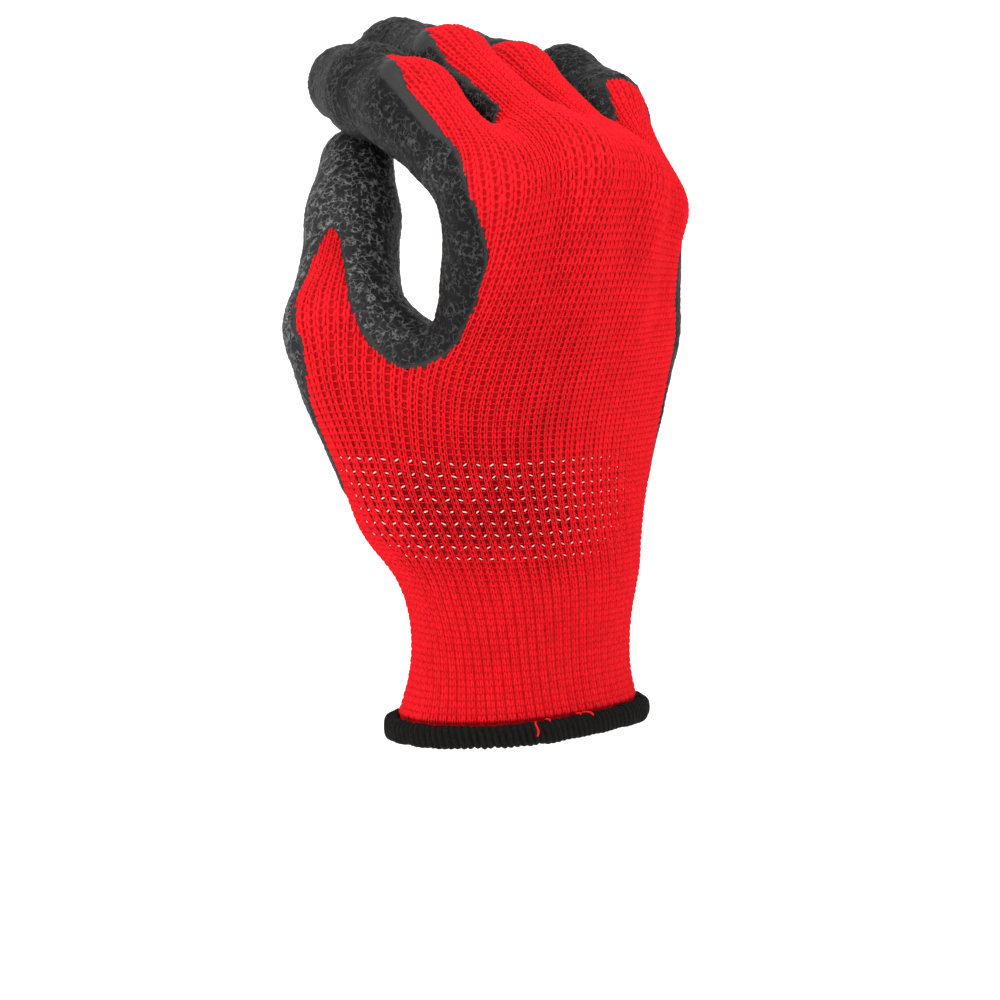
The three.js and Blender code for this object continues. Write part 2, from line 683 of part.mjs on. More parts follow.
// The liner: the net outside, the same net one wall deeper inside, and ribs pressed into the cuff
function buildLiner() {
  const shell = new Shell();
  const crest = new Map(lowerRows.slice(0, RIB_ROWS).flat().map((index) => [index, RIB_DEPTH / 2]));
  const outer = points.map((p, i) => shell.vertex(along(p, normals[i], crest.get(i) ?? 0)));
  const inner = points.map((p, i) => shell.vertex(along(p, normals[i], -LINER_WALL)));
  const grooves = lowerRows.slice(0, RIB_ROWS).map((ring) => ring.map((a, i) => {
    const b = ring[(i + 1) % ring.length];
    const normal = normals[a].clone().add(normals[b]).normalize();
    return shell.vertex(along(points[a].clone().lerp(points[b], 0.5), normal, -RIB_DEPTH / 2));
  }));
  cells.forEach((cell, number) => {
    const row = Math.floor(number / PALM_SIDES);
    const i = number % PALM_SIDES;
    const [a, b, c, d] = cell.map((index) => outer[index]);
    if (row < RIB_ROWS - 1) {
      shell.quad(a, grooves[row][i], grooves[row + 1][i], d);
      shell.quad(grooves[row][i], b, c, grooves[row + 1][i]);
    } else if (row < RIB_ROWS) {
      shell.faces.push([a, grooves[row][i], d], [grooves[row][i], c, d], [grooves[row][i], b, c]);
    }
    for (const [p, q, r] of cellTriangles(cell)) {
      if (row >= RIB_ROWS) shell.faces.push([outer[p], outer[q], outer[r]]);
      shell.faces.push([inner[r], inner[q], inner[p]]);
    }
  });
  lowerRows[0].forEach((a, i) => {
    const b = lowerRows[0][(i + 1) % PALM_SIDES];
    const low = grooves[0][i];
    shell.faces.push([outer[a], inner[a], low], [inner[a], inner[b], low], [low, inner[b], outer[b]]);
  });
  return shell;
}

// The coating: the part of the net that is coated, cut along the coating's edge, lifted off the liner
// and closed all round
function buildCoating() {
  const shell = new Shell();
  const measure = coated.map((value) => (Math.abs(value) < 0.5 ? 0.5 : value));
  const pairs = new Map();
  const lift = (p, n) => [shell.vertex(along(p, n, COAT_GAP)), shell.vertex(along(p, n, COAT_GAP + COAT_WALL))];
  const corner = (i) => {
    if (!pairs.has(i)) pairs.set(i, lift(points[i], normals[i]));
    return pairs.get(i);
  };
  const crossing = (i, j) => {
    const key = `${Math.min(i, j)} ${Math.max(i, j)}`;
    if (!pairs.has(key)) {
      const t = measure[i] / (measure[i] - measure[j]);
      const normal = normals[i].clone().lerp(normals[j], t).normalize();
      pairs.set(key, lift(points[i].clone().lerp(points[j], t), normal));
    }
    return pairs.get(key);
  };
  const edges = new Map();
  const addFace = (a, b, c) => {
    shell.faces.push([a[1], b[1], c[1]], [c[0], b[0], a[0]]);
    for (const [p, q] of [[a, b], [b, c], [c, a]]) {
      if (!edges.delete(`${q[0]} ${p[0]}`)) edges.set(`${p[0]} ${q[0]}`, [p, q]);
    }
  };
  for (const triangle of cells.flatMap(cellTriangles)) {
    const loop = [];
    triangle.forEach((i, n) => {
      const j = triangle[(n + 1) % 3];
      if (measure[i] > 0) loop.push(corner(i));
      if ((measure[i] > 0) !== (measure[j] > 0)) loop.push(crossing(i, j));
    });
    for (let n = 2; n < loop.length; n++) addFace(loop[0], loop[n - 1], loop[n]);
  }
  for (const [p, q] of edges.values()) shell.quad(p[0], q[0], q[1], p[1]);
  return shell;
}

// The hem: a rounded strip wrapped over the lower edge, level with the cuff's slanting opening
function buildHem() {
  const shell = new Shell();
  const section = { ...SECTIONS[0], z: HEM_HEIGHT / 2 };
  const ring = outline(section, TOGETHER);
  const start = shareAtAngle(ring, section.back) - 2 * K / PALM_SIDES;
  const { up } = ring.axes;
  const loops = Array.from({ length: PALM_SIDES }, (_, i) => {
    const p = pointAtShare(ring, start + i / PALM_SIDES);
    const normal = normalAt(p, TOGETHER);
    const out = along(normal, up, -normal.dot(up)).normalize();
    const core = along(p, out, HEM_ROLL);
    return HEM_PROFILE.map((place) => {
      const across = along(core, out, HEM_THICKNESS / 2 * place.out);
      return shell.vertex(along(across, up, HEM_HEIGHT / 2 * place.up));
    });
  });
  loops.forEach((loop, i) => {
    const next = loops[(i + 1) % loops.length];
    loop.forEach((a, s) => {
      const t = (s + 1) % HEM_PROFILE.length;
      shell.quad(a, next[s], next[t], loop[t]);
    });
  });
  return shell;
}

const knit = new THREE.MeshStandardMaterial({ color: 0xe21c23, roughness: 0.9, metalness: 0 });
const latex = new THREE.MeshStandardMaterial({ color: 0x2f2f2f, roughness: 0.6, metalness: 0 });
const thread = new THREE.MeshStandardMaterial({ color: 0x1e1c1a, roughness: 0.85, metalness: 0 });

const glove = new THREE.Group();
glove.name = 'thermal_work_glove';
glove.add(buildLiner().mesh('knit_liner', knit));
glove.add(buildCoating().mesh('latex_coating', latex));
glove.add(buildHem().mesh('hem_overlock', thread));

export default glove;
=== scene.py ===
"""A thermal work glove: a knitted liner with a ribbed cuff, dipped in latex on the palm and fingertips.

The functions work in millimetres and the meshes are in metres. +Z runs up from the cuff, +Y to the palm side and
-X to the thumb side. The glove's face is the zero level of a smooth distance field: rounded limbs from joint to
joint, blended where they meet. A net of wales (columns of stitches) and courses (rows) lies on it, and stitches,
latex and lining are all worked out from that net.
"""
import functools
import math

import bpy
import numpy as np
from bpy.props import FloatProperty, FloatVectorProperty, PointerProperty
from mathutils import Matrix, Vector


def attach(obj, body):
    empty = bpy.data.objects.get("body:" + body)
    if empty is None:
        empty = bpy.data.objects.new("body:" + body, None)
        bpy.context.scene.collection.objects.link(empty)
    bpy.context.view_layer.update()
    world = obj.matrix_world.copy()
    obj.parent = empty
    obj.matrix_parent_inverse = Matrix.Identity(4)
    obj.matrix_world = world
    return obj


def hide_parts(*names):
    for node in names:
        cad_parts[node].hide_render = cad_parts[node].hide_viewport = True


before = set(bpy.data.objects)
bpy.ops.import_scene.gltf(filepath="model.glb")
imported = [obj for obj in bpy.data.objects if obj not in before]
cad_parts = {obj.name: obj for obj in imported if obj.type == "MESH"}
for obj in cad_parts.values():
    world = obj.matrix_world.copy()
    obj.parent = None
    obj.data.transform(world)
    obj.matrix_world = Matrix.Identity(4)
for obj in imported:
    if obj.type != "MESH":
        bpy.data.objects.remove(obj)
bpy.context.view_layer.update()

bl_info = {
    "name": "Thermal work glove",
    "version": (1, 0, 0),
    "blender": (4, 5, 0),
    "location": "3D View > Sidebar > Glove",
    "description": "Builds a knitted work glove with a latex dip around its packed solids",
    "category": "Add Mesh",
}

# ---------------------------------------------------------------- the form of the glove, as in the part's source

MM = 0.001
# How far the latex stands over the glove's face, and the liner's wall behind it
COAT_HEIGHT = 1.1
LINER_WALL = 1.6
HEM_HEIGHT, HEM_THICKNESS, HEM_ROLL, HEM_GAP = 6.0, 5.0, 0.4, 0.3
# The cuff widens by so much toward the hem, from this height down
FLARE, FLARE_HEIGHT = 3.2, 20.0
# Coarse wales across a finger's back, a web and half the thumb
K, W, T = 5, 2, 7
# Rays cast for the outline of a section
RAYS = 240
# Softness of the blends within the palm, within a digit and between them
SOFT_PALM, SOFT_FINGER, SOFT_WEB = 5.0, 2.0, 1.2
# A tube ignores its neighbours bit by bit over this length past its web, by pushing them this far off
PART_LENGTH, PART_PUSH = 15.0, 10.0
# A distance past every other, and the step that the slope of the field is taken over
FAR = 1e3
STEP = 0.05

# Joint centres of each digit and the radius of the knitted tube there: x, y, z, r
DIGITS = {
    "thumb": ((-30.4, 28.3, 101, 13.2), (-16.6, 43, 127.5, 9.9), (-8.5, 51.8, 141, 8.3)),
    "index": ((-23.5, -21, 135, 9.9), (-22.5, 11, 155.7, 10.5), (-18.4, 33.1, 159.5, 9.8), (-12.8, 50.3, 161.5, 8.9)),
    "middle": ((-0.7, -22, 139.7, 9.5), (3.6, 27.9, 165.9, 9.2), (11.7, 60.1, 168, 8.6), (18.1, 78.1, 165.6, 8.0)),
    "ring": ((19.9, -18.1, 135.8, 9.2), (27, 30.1, 162.3, 8.9), (34.8, 61.4, 165.5, 8.4), (41.5, 79, 162, 7.8)),
    "little": ((39.3, -7.5, 130.3, 8.9), (49.5, 19.9, 154.1, 8.5), (54.7, 43, 162.2, 7.8), (58.9, 57.2, 158.2, 7.1)),
}
DIGITS = {name: np.array(joints) for name, joints in DIGITS.items()}
TUBES = tuple(DIGITS)
FINGERS = TUBES[1:]
WEB_START, WEB_END = np.array((-20.0, -8, 89.5)), np.array((-29.0, 20, 89.5))
WEB_PLACE, WEB_RADIUS = 0.26, 5.0
# Limbs: start, end, radius at the start, radius at the end
PALM_LIMBS = [
    ((-10.3, -0.5, -14), (-8, 0, 36), 20.6, 15.3),
    ((1.5, 0, -14), (3, 0, 36), 18.0, 15.0),
    ((13.5, 0, -14), (14.5, 0, 36), 20.4, 16.4),
    ((-11, 0, 42), (-22.5, -21, 135), 13.5, 10.6),
    ((-3, -2, 42), (-0.5, -22, 139), 13.5, 11.8),
    ((8, -1, 42), (19.5, -18.5, 135), 13.5, 11.5),
    ((17.5, 1, 46), (37.8, -7, 128), 16.2, 9.6),
    ((22, 6, 60), (36.8, 1, 98), 14.2, 11.6),
]
BALL_LIMBS = [((-19, 8, 62), (-30.4, 28.3, 101), 20.5, 14.0), (tuple(WEB_START), tuple(WEB_END), 8.5, 9.5)]
# Sections of the palm: x, y, z, forward bend, side tilt, direction of the back, spread of the wales, rows above
SECTIONS = np.array([
    (1.5, 0, HEM_HEIGHT + HEM_GAP, 1.5, 1.7, 95, 0, 2),
    (2, 0, 30, 0, 0, 95, 0, 2),
    (0, 0, 54, 0, 0, 95, 0.15, 3),
    (-6, -1, 75, 0, 0, 95, 0.6, 2),
    (-14, -6, 92, 0, 0, 95, 1, 2),
    (4, -13, 112, -10, 0, 90, 0, 2),
    (7, -16, 134, 20, 0, 90, 0, 2),
])
CROTCH, KNUCKLES = 4, 6
# Rows of the digits, counted in joints
FINGER_STATIONS = (0.45, 0.75, 1.08, 1.5, 2, 2.5, 3)
THUMB_STATIONS = (0.3, 0.55, 0.85, 1.2, 1.6, 2)
CAP_RINGS = 2

# Edges of the latex by section, hem to webs: far and near in finger widths, ball in millimetres
COAT_FAR = np.array((-0.5, -0.5, -0.4, -0.35, -0.15, 0.1, -0.1, -0.1))
COAT_NEAR = np.array((0, 0, 0, 0, 0, 0.5, 0.3, 0.2))
COAT_BALL = np.array((40.0, 36, 32, 26, 19.5, 22, 27, 27))
COAT_LOWEST = 60.0
BAY = {"middle": (-18.6, 15.4, 116.0), "turn": -40, "tilt": 6, "half_width": 16.6, "half_height": 25.4}
WALE_PITCH = 22 / K
# Bare strips on the fingers: degrees to the near side and to the far side, millimetres from the tip and past the web
STRIPS = {"index": (44, 84, 34, 5), "middle": (51, 55, 46, 0), "ring": (62, 55, 51, 7), "little": (48, 75, 46, 5)}
# They close in toward their tips by so many degrees over so many millimetres, and start slantwise past the webs
STRIP_CLOSE, STRIP_POINT = 30.0, 25.0
BACK_SLANT, PALM_SLANT = 0.14, 0.35
# The bare wedge on the thumb: millimetres past the web, low edge and high edge in degrees
WEDGE = np.array([(0, 70, 158), (8, 62, 118), (16, 62, 103), (22, 70, 94), (31, 92, 66)])

# ---------------------------------------------------------------- the knit, from real sizes in millimetres

COURSE = 1.6
# Real wales across a finger's back, a web and half the thumb
FINE_K, FINE_W, FINE_T = 12, 4, 17
YARN_REST = -0.12
RIB_RELIEF = 0.6
# By height up the glove: how wide every second groove opens, how far the ribs stand out, how deep the ground lies,
# how much painted shade darkens it, and how broad the yarn is
GROOVES = {
    "z": (0, 36, 45, 52, 64, 71, 78, 100, 118),
    "open": (0.02, 0.04, 0.18, 0.32, 0.32, 0.24, 0.17, 0.12, 0),
    "relief": (1, 1, 0.9, 0.9, 0.7, 0.3, 0, 0, 0),
    "depth": (0.20, 0.22, 0.55, 0.80, 0.80, 0.65, 0.58, 0.52, 0.45),
    "dark": (-0.12, -0.10, 0.12, 0.40, 0.40, 0.20, 0.10, 0.08, 0.05),
    "width": (1.22, 1.20, 1.05, 1, 1, 1, 1, 1, 1.05),
}
# How far the cloth is stretched and its holes are open, by wale: open on the back and the thumb side, slack outside
STRETCH_WALES = (0, 9, 14, 21, 30, 42, 50, 55, 58)
STRETCH = (1, 1, 0.25, 0.05, 0.35, 0.4, 0.45, 0.9, 1)
FINGER_STRETCH, THUMB_STRETCH = 0.45, 0.8
# One leg of a stitch, from its top to its foot: across the wale, up the course, height, half width across
LEG = np.array([
    (0.41, 1.16, -0.36, 0.14),
    (0.35, 0.78, 0.0, 0.20),
    (0.28, 0.28, 0.0, 0.22),
    (0.26, -0.14, -0.36, 0.14),
])
# The bar that joins two wales: across, half height up the course, height
BAR = np.array([(0.76, 0.17, -0.16), (1.24, 0.17, -0.16)])
# The stitches are pieces by height up the glove, and their shades, widths, places and heights vary by so much
WRIST_LOW, HEEL_LOW = 36, 66
VARY_SHADE, VARY_WIDTH, VARY_PLACE, VARY_HEIGHT = 0.035, 0.09, 0.022, 0.03
SLACK_WIDENING = 0.26
ELASTIC_LOW, ELASTIC_HIGH = 44.0, 70.5
RIM_TUCK = 3.0
# Stitches deeper than this inside the latex edge are hidden, and the film runs this far out past it
HIDDEN_DEPTH, FILM_REACH = 0.7, 0.9
# Depth inside the latex edge, and the height of the latex's face over the glove's there
FILM_DEPTHS = (-FILM_REACH, -0.45, -0.1, 0.4, 1.6, 4.5)
FILM_HEIGHTS = (-0.7, -0.2, 0.42, 0.6, 0.85, COAT_HEIGHT)
# Painted light: the thumb's latex is paler past its root joint, along the way the thumb points, as the thumb faces
# away from the lamps
THUMB_ROOT, THUMB_LINE = np.array((-30.0, 28, 101)), np.array((0.42, 0.476, 0.774))
CRINKLE_PITCH = 1.9
HEM_STITCHES, HEM_STEPS, HEM_SIDES = 118, 8, 20
# Ends of yarn in the hem: degrees round the cuff, first and last degrees over the hem's face, sideways lean
YARN_ENDS = ((-121.5, 70, -5, 0.5), (-113, 115, 62, 0.3), (-87, 125, 50, -1.2), (-91, 118, 70, 0.4))

VIEW_MIDDLE = (-2.456, 1.758, 57.787)


def unit(v):
    """Vectors scaled to length one."""
    return v / np.maximum(np.linalg.norm(v, axis=-1, keepdims=True), 1e-12)


def limb_distance(p, limb):
    """Signed distance to the solid swept by a ball that goes from joint to joint while its radius changes."""
    start, end, r0, r1 = limb
    axis = np.asarray(end, float) - start
    l2 = axis @ axis
    slope = r0 - r1
    a2 = l2 - slope * slope
    d = p - np.asarray(start, float)
    y = d @ axis
    z = y - l2
    e = d * l2 - y[:, None] * axis
    x2 = np.einsum("ij,ij->i", e, e)
    k = np.sign(slope) * slope * slope * x2
    side = (np.sqrt(x2 * a2 / l2) + y * slope) / l2 - r0
    low = np.sqrt(x2 + y * y * l2) / l2 - r0
    high = np.sqrt(x2 + z * z * l2) / l2 - r1
    side = np.where(np.sign(y) * a2 * y * y * l2 < k, low, side)
    return np.where(np.sign(z) * a2 * z * z * l2 > k, high, side)


def blend(distances, softness):
    """The smooth smallest of several distances, by the logarithm of a sum of exponentials."""
    d = np.stack(distances)
    least = d.min(0)
    return least - softness * np.log(np.exp((least - d) / softness).sum(0))


def root_of(name):
    """Where a finger leaves the palm, on the line from its knuckle to its middle joint."""
    a, b = DIGITS[name][:2, :3]
    return a + (b - a) * WEB_PLACE


WEB_LIMBS = [(root_of(a), root_of(b), WEB_RADIUS, WEB_RADIUS) for a, b in zip(FINGERS, FINGERS[1:])]
CHAINS = {name: [(a[:3], b[:3], a[3], b[3]) for a, b in zip(j, j[1:])] for name, j in DIGITS.items()}
# The push of points that ignore nothing
TOGETHER = np.zeros((1, 1 + len(TUBES)))


def face(p, push):
    """Signed distance to the glove's face. push holds how far the ball of the thumb and each digit are pushed off."""
    palm = [limb_distance(p, limb) for limb in PALM_LIMBS + WEB_LIMBS]
    palm += [limb_distance(p, limb) + push[:, 0] for limb in BALL_LIMBS]
    parts = [blend(palm, SOFT_PALM)]
    for column, name in enumerate(TUBES, 1):
        chain = blend([limb_distance(p, limb) for limb in CHAINS[name]], SOFT_FINGER) + push[:, column]
        parts.append(np.where(push[:, column] > PART_PUSH, FAR, chain))
    return blend(parts, SOFT_WEB) - FLARE * np.maximum(1 - p[:, 2] / FLARE_HEIGHT, 0) ** 2


def apart(tube, distance):
    """What a tube ignores at a distance past its web, as a row of pushes."""
    share = np.atleast_1d(distance) / PART_LENGTH
    push = np.where(share >= 1, 2 * PART_PUSH, PART_PUSH * np.maximum(share, 0))
    out = np.zeros((len(push), 1 + len(TUBES)))
    if tube == "palm":
        out[:, 0] = out[:, 1] = push
        return out
    out[:, 1:] = push[:, None]
    out[:, 1 + TUBES.index(tube)] = 0
    if tube != "thumb":
        out[:, 0] = 2 * PART_PUSH
    return out


def cast(origins, directions, push):
    """Walks out from inside the glove along each direction until its face."""
    p = np.array(np.broadcast_to(origins, directions.shape), float)
    for _ in range(60):
        f = face(p, push)
        p -= directions * f[:, None]
        if np.abs(f).max() < 1e-4:
            break
    return p


def face_normals(p, push):
    """Outward normals: the differences of the field across a small step each way, scaled to length one."""
    return unit(np.stack([face(p + axis, push) - face(p - axis, push) for axis in np.eye(3) * STEP], 1))


def settle(p, push):
    """Moves points near the face straight onto it."""
    for _ in range(3):
        f = face(p, push)
        slope = np.stack([face(p + axis, push) - f for axis in np.eye(3) * STEP], 1)
        p = p - unit(slope) * f[:, None]
    return p


def curve(p0, p1, p2, p3, t):
    """Catmull-Rom curve from the second point (t = 0) to the third (t = 1)."""
    return p1 + 0.5 * t * (p2 - p0 + t * (2 * p0 - 5 * p1 + 4 * p2 - p3 + t * (3 * (p1 - p2) + p3 - p0)))


def through_rows(values, rows):
    """The curve through the rows of a table, at places counted in rows. The ends run on straight."""
    values, rows = np.asarray(values, float), np.asarray(rows, float)
    padded = np.concatenate([2 * values[:1] - values[1:2], values, 2 * values[-1:] - values[-2:-1]])
    i = np.clip(np.floor(rows).astype(int), 0, len(values) - 2)
    return curve(*(padded[i + step] for step in range(4)), (rows - i).reshape((-1,) + (1,) * (values.ndim - 1)))


def round_rings(rings, wales):
    """The curve round closed rings (rows, wales, 3), at places counted in wales."""
    i = np.floor(wales).astype(int)
    return curve(*(rings[:, (i + step) % rings.shape[1]] for step in (-1, 0, 1, 2)), (wales - i)[None, :, None])


def coarse_places(tube):
    """Where each fine wale of a tube lies, counted in coarse wales: even within each width of finger, web or thumb."""
    finger, web, palm, thumb = (K, FINE_K), (W, FINE_W), (4 * K, 4 * FINE_K), (2 * T + W, 2 * FINE_T + FINE_W)
    widths = {"cuff": (palm, web, palm, thumb), "palm": (palm, web, palm, web), "thumb": (thumb, web)}
    coarse, fine = np.cumsum([(0, 0), *widths.get(tube, (finger, web, finger, web))], 0).T
    return np.interp(np.arange(fine[-1]), fine, coarse)


def section_axes(section):
    """Across, palmward and up for the plane of a section: turned by its bend, then its tilt."""
    bend, tilt = -math.radians(section[3]), -math.radians(section[4])
    turn_x = np.array([(1, 0, 0), (0, math.cos(bend), -math.sin(bend)), (0, math.sin(bend), math.cos(bend))])
    turn_y = np.array([(math.cos(tilt), 0, math.sin(tilt)), (0, 1, 0), (-math.sin(tilt), 0, math.cos(tilt))])
    return (turn_x @ turn_y).T


class Outline:
    """The closed outline of a section as even rays, with the share of its length reached at each ray."""

    def __init__(self, section, push):
        self.centre = section[:3]
        self.axes = section_axes(section)
        self.push = push
        self.points = self.at_angles(2 * math.pi * np.arange(RAYS + 1) / RAYS)
        reached = np.concatenate([[0], np.cumsum(np.linalg.norm(np.diff(self.points, axis=0), axis=1))])
        self.shares = reached / reached[-1]

    def at_angles(self, angles):
        """Face points in the plane of the section, at angles from the thumb side over the back."""
        directions = -np.cos(angles)[:, None] * self.axes[0] - np.sin(angles)[:, None] * self.axes[1]
        return cast(self.centre, directions, self.push)

    def share_at(self, degrees):
        """Share of the length reached at an angle."""
        return float(np.interp(degrees / 360 * RAYS, np.arange(RAYS + 1), self.shares))

    def share_near(self, target):
        """Share of the length reached at the point nearest to a target."""
        return self.shares[np.linalg.norm(self.points[:-1] - target, axis=1).argmin()]

    def at_shares(self, shares):
        """Face points at shares of the length, each at its place between two rays."""
        s = np.asarray(shares) - np.floor(shares)
        i = np.clip(np.searchsorted(self.shares, s), 1, RAYS)
        t = (s - self.shares[i - 1]) / np.maximum(self.shares[i] - self.shares[i - 1], 1e-9)
        return self.at_angles(2 * math.pi * (i - 1 + t) / RAYS)


def between(w):
    """Shares of the wales that lie between the two edges of a web."""
    return (np.arange(w - 1) + 1) / w


def ridge_points(web, shares):
    """Points of the face over a web (middle, back, ridge), from its back (0) over its ridge to its front (1)."""
    middle, back, ridge = web
    angles = math.pi * np.asarray(shares, float)[:, None]
    return cast(middle, np.cos(angles) * back + np.sin(angles) * ridge, TOGETHER)


WEB_MIDDLE = (WEB_START + WEB_END) / 2
THUMB_WEB = (WEB_MIDDLE, unit(np.cross((0.0, 0, 1), WEB_END - WEB_START)), np.array((0.0, 0, 1)))


def digit_axes(name, station):
    """Middle, line, back and side of a digit at a place counted in joints."""
    joints = DIGITS[name][:, :3]
    i = int(np.clip(math.floor(station), 0, len(joints) - 2))
    t = station - i
    middle = joints[i] + (joints[i + 1] - joints[i]) * t
    tangents = np.concatenate([joints[1:2] - joints[:1], (joints[2:] - joints[:-2]) / 2, joints[-1:] - joints[-2:-1]])
    p1, p2, m1, m2 = joints[i], joints[i + 1], tangents[i], tangents[i + 1]
    line = unit((6 * t * t - 6 * t) * (p1 - p2) + (3 * t * t - 4 * t + 1) * m1 + (3 * t * t - 2 * t) * m2)
    back = joints[0] - WEB_MIDDLE if name == "thumb" else np.cross((1.0, 0, 0), line)
    back = unit(back - line * (back @ line))
    return middle, line, back, np.cross(line, back)


def wale_angles(name, wales):
    """Angle round a digit from its back, of places counted in coarse wales."""
    start, width = (T + W / 2, T) if name == "thumb" else (K / 2, K)
    return 2 * math.pi * (np.asarray(wales) - start) / (2 * (width + W))


def digit_points(axes, angles, rise, push):
    """Face at angles round a digit. For its rounded end the direction rises from the ring to the tip."""
    middle, line, back, side = axes
    flat = np.cos(angles)[:, None] * back + np.sin(angles)[:, None] * side
    return cast(middle, flat * math.cos(rise) + line * math.sin(rise), push)


class Net:
    """Points of the face, what each ignores, and the tubes of rings that they form."""

    def __init__(self, k, w, t):
        self.k, self.w = k, w
        self.palm_end = 8 * k + w
        self.upper_sides = self.palm_end + w
        self.palm_sides = self.palm_end + 2 * t + w
        self.points = np.zeros((0, 3))
        self.pushes = np.zeros((0, 1 + len(TUBES)))
        self.tubes = {}
        self.rows = {}

    def add(self, points, push):
        """Adds points and what they ignore, and gives their numbers."""
        first = len(self.points)
        self.points = np.concatenate([self.points, points])
        self.pushes = np.concatenate([self.pushes, np.broadcast_to(push, (len(points), self.pushes.shape[1]))])
        return np.arange(first, len(self.points))

    def finger_root(self, f, ring, ridges):
        """The wales that one finger takes from the ring at the webs, closed by the ridges beside it."""
        k, w, end = self.k, self.w, self.palm_end
        back = ring[f * k:(f + 1) * k + 1]
        front = ring[end - (f + 1) * k:end - f * k + 1]
        far = ring[4 * k + 1:4 * k + w] if f == 3 else ridges[f]
        near = ring[end + 1:] if f == 0 else ridges[f - 1][::-1]
        return np.concatenate([back, far, front, near])

    def upper_root(self, crotch, ridge):
        """The crotch's wales over the back and the palm, closed by the ridge of the thumb's web."""
        return np.concatenate([crotch[:self.palm_end + 1], ridge[::-1]])

    def thumb_root(self, crotch, ridge):
        """The crotch's wales round the thumb, closed by the same ridge."""
        return np.concatenate([crotch[self.palm_end:], crotch[:1], ridge])

    def cells(self):
        """All four-sided cells as rows of point numbers, with their tube, row and wale."""
        out, where = [], []
        for number, ids in enumerate(self.tubes.values()):
            following = np.roll(ids, -1, axis=1)
            quads = np.stack([ids[:-1], following[:-1], following[1:], ids[1:]], -1)
            rows, wales = np.indices(quads.shape[:2])
            out.append(quads.reshape(-1, 4))
            where.append(np.stack([np.full(rows.size, number), rows.ravel(), wales.ravel()], 1))
        return np.concatenate(out), np.concatenate(where)

    def smooth(self, passes, share):
        """Each point moves toward the middle of its neighbours and back onto the face."""
        quads, _ = self.cells()
        pairs = np.concatenate([quads[:, (i, (i + 1) % 4)] for i in range(4)])
        pairs = np.unique(np.sort(pairs, axis=1), axis=0)
        pairs = pairs[pairs[:, 0] != pairs[:, 1]]
        a, b = np.concatenate([pairs, pairs[:, ::-1]]).T
        count = np.bincount(a, minlength=len(self.points))[:, None]
        free = np.ones(len(self.points), bool)
        free[self.tubes["cuff"][0]] = False
        for _ in range(passes):
            total = np.stack([np.bincount(a, self.points[b, c], len(self.points)) for c in range(3)], 1)
            moved = self.points + share * (total / count - self.points)
            self.points[free] = settle(moved[free], self.pushes[free])


def spread_shares(anchors, count):
    """Shares of all wales from a few anchors (wale, share), always rising round the outline."""
    wales, shares = (list(column) for column in zip(*anchors))
    for i in range(1, len(shares)):
        while shares[i] < shares[i - 1]:
            shares[i] += 1
    return np.interp(np.arange(count), [*wales, count], [*shares, shares[0] + 1])


def row_places(first, last):
    """Places of the rows between two sections, counted in sections."""
    return [*(s + i / SECTIONS[s][7] for s in range(first, last) for i in range(int(SECTIONS[s][7]))), last]


def cuff_rings(net):
    """Rings of the lower palm: even round the wrist, gathered at the thumb's web and the far side at the crotch."""
    crotch = Outline(SECTIONS[CROTCH], TOGETHER)
    side = net.w / net.palm_sides
    far = crotch.share_at(176)
    ends = ridge_points(THUMB_WEB, (0, 1))
    gathered = spread_shares([
        (0, crotch.share_near(ends[0])),
        (4 * net.k, far - side / 2),
        (4 * net.k + net.w, far + side / 2),
        (net.palm_end, crotch.share_near(ends[1])),
    ], net.palm_sides)
    rings = []
    for section in SECTIONS[:CROTCH + 1]:
        ring = Outline(section, TOGETHER)
        even = ring.share_at(section[5]) - 2 * net.k / net.palm_sides + np.arange(net.palm_sides) / net.palm_sides
        pulled = gathered + np.round(even - gathered)
        rings.append(ring.at_shares(even + (pulled - even) * section[6]))
    return np.stack(rings)


def web_ring(net):
    """The ring where the fingers part, and the ridges between them."""
    axes = [digit_axes(name, WEB_PLACE) for name in FINGERS]
    k, w, end = net.k, net.w, net.palm_end

    def own(f, wale):
        """A finger's own point at one of its wales."""
        return digit_points(axes[f], wale_angles(FINGERS[f], [wale]), 0, TOGETHER)[0]

    webs = []
    for f in range(3):
        middle = (root_of(FINGERS[f]) + root_of(FINGERS[f + 1])) / 2
        webs.append((middle, unit(axes[f][2] + axes[f + 1][2]), unit(axes[f][1] + axes[f + 1][1])))
    ring = []
    for wale in range(net.upper_sides):
        on_back = wale <= 4 * k
        from_near = wale if on_back else end - wale
        f = int(np.clip(from_near // k, 0, 3))
        if 4 * k < wale < 4 * k + w:
            ring.append(own(3, k + wale - 4 * k))
        elif wale > end:
            ring.append(own(0, 2 * k + w + wale - end))
        elif 0 < from_near < 4 * k and from_near % k == 0:
            ring.append(ridge_points(webs[f - 1], [0 if on_back else 1])[0])
        else:
            own_wale = from_near - f * k
            ring.append(own(f, own_wale if on_back else 2 * k + w - own_wale))
    return np.stack(ring), [ridge_points(web, between(w)) for web in webs]


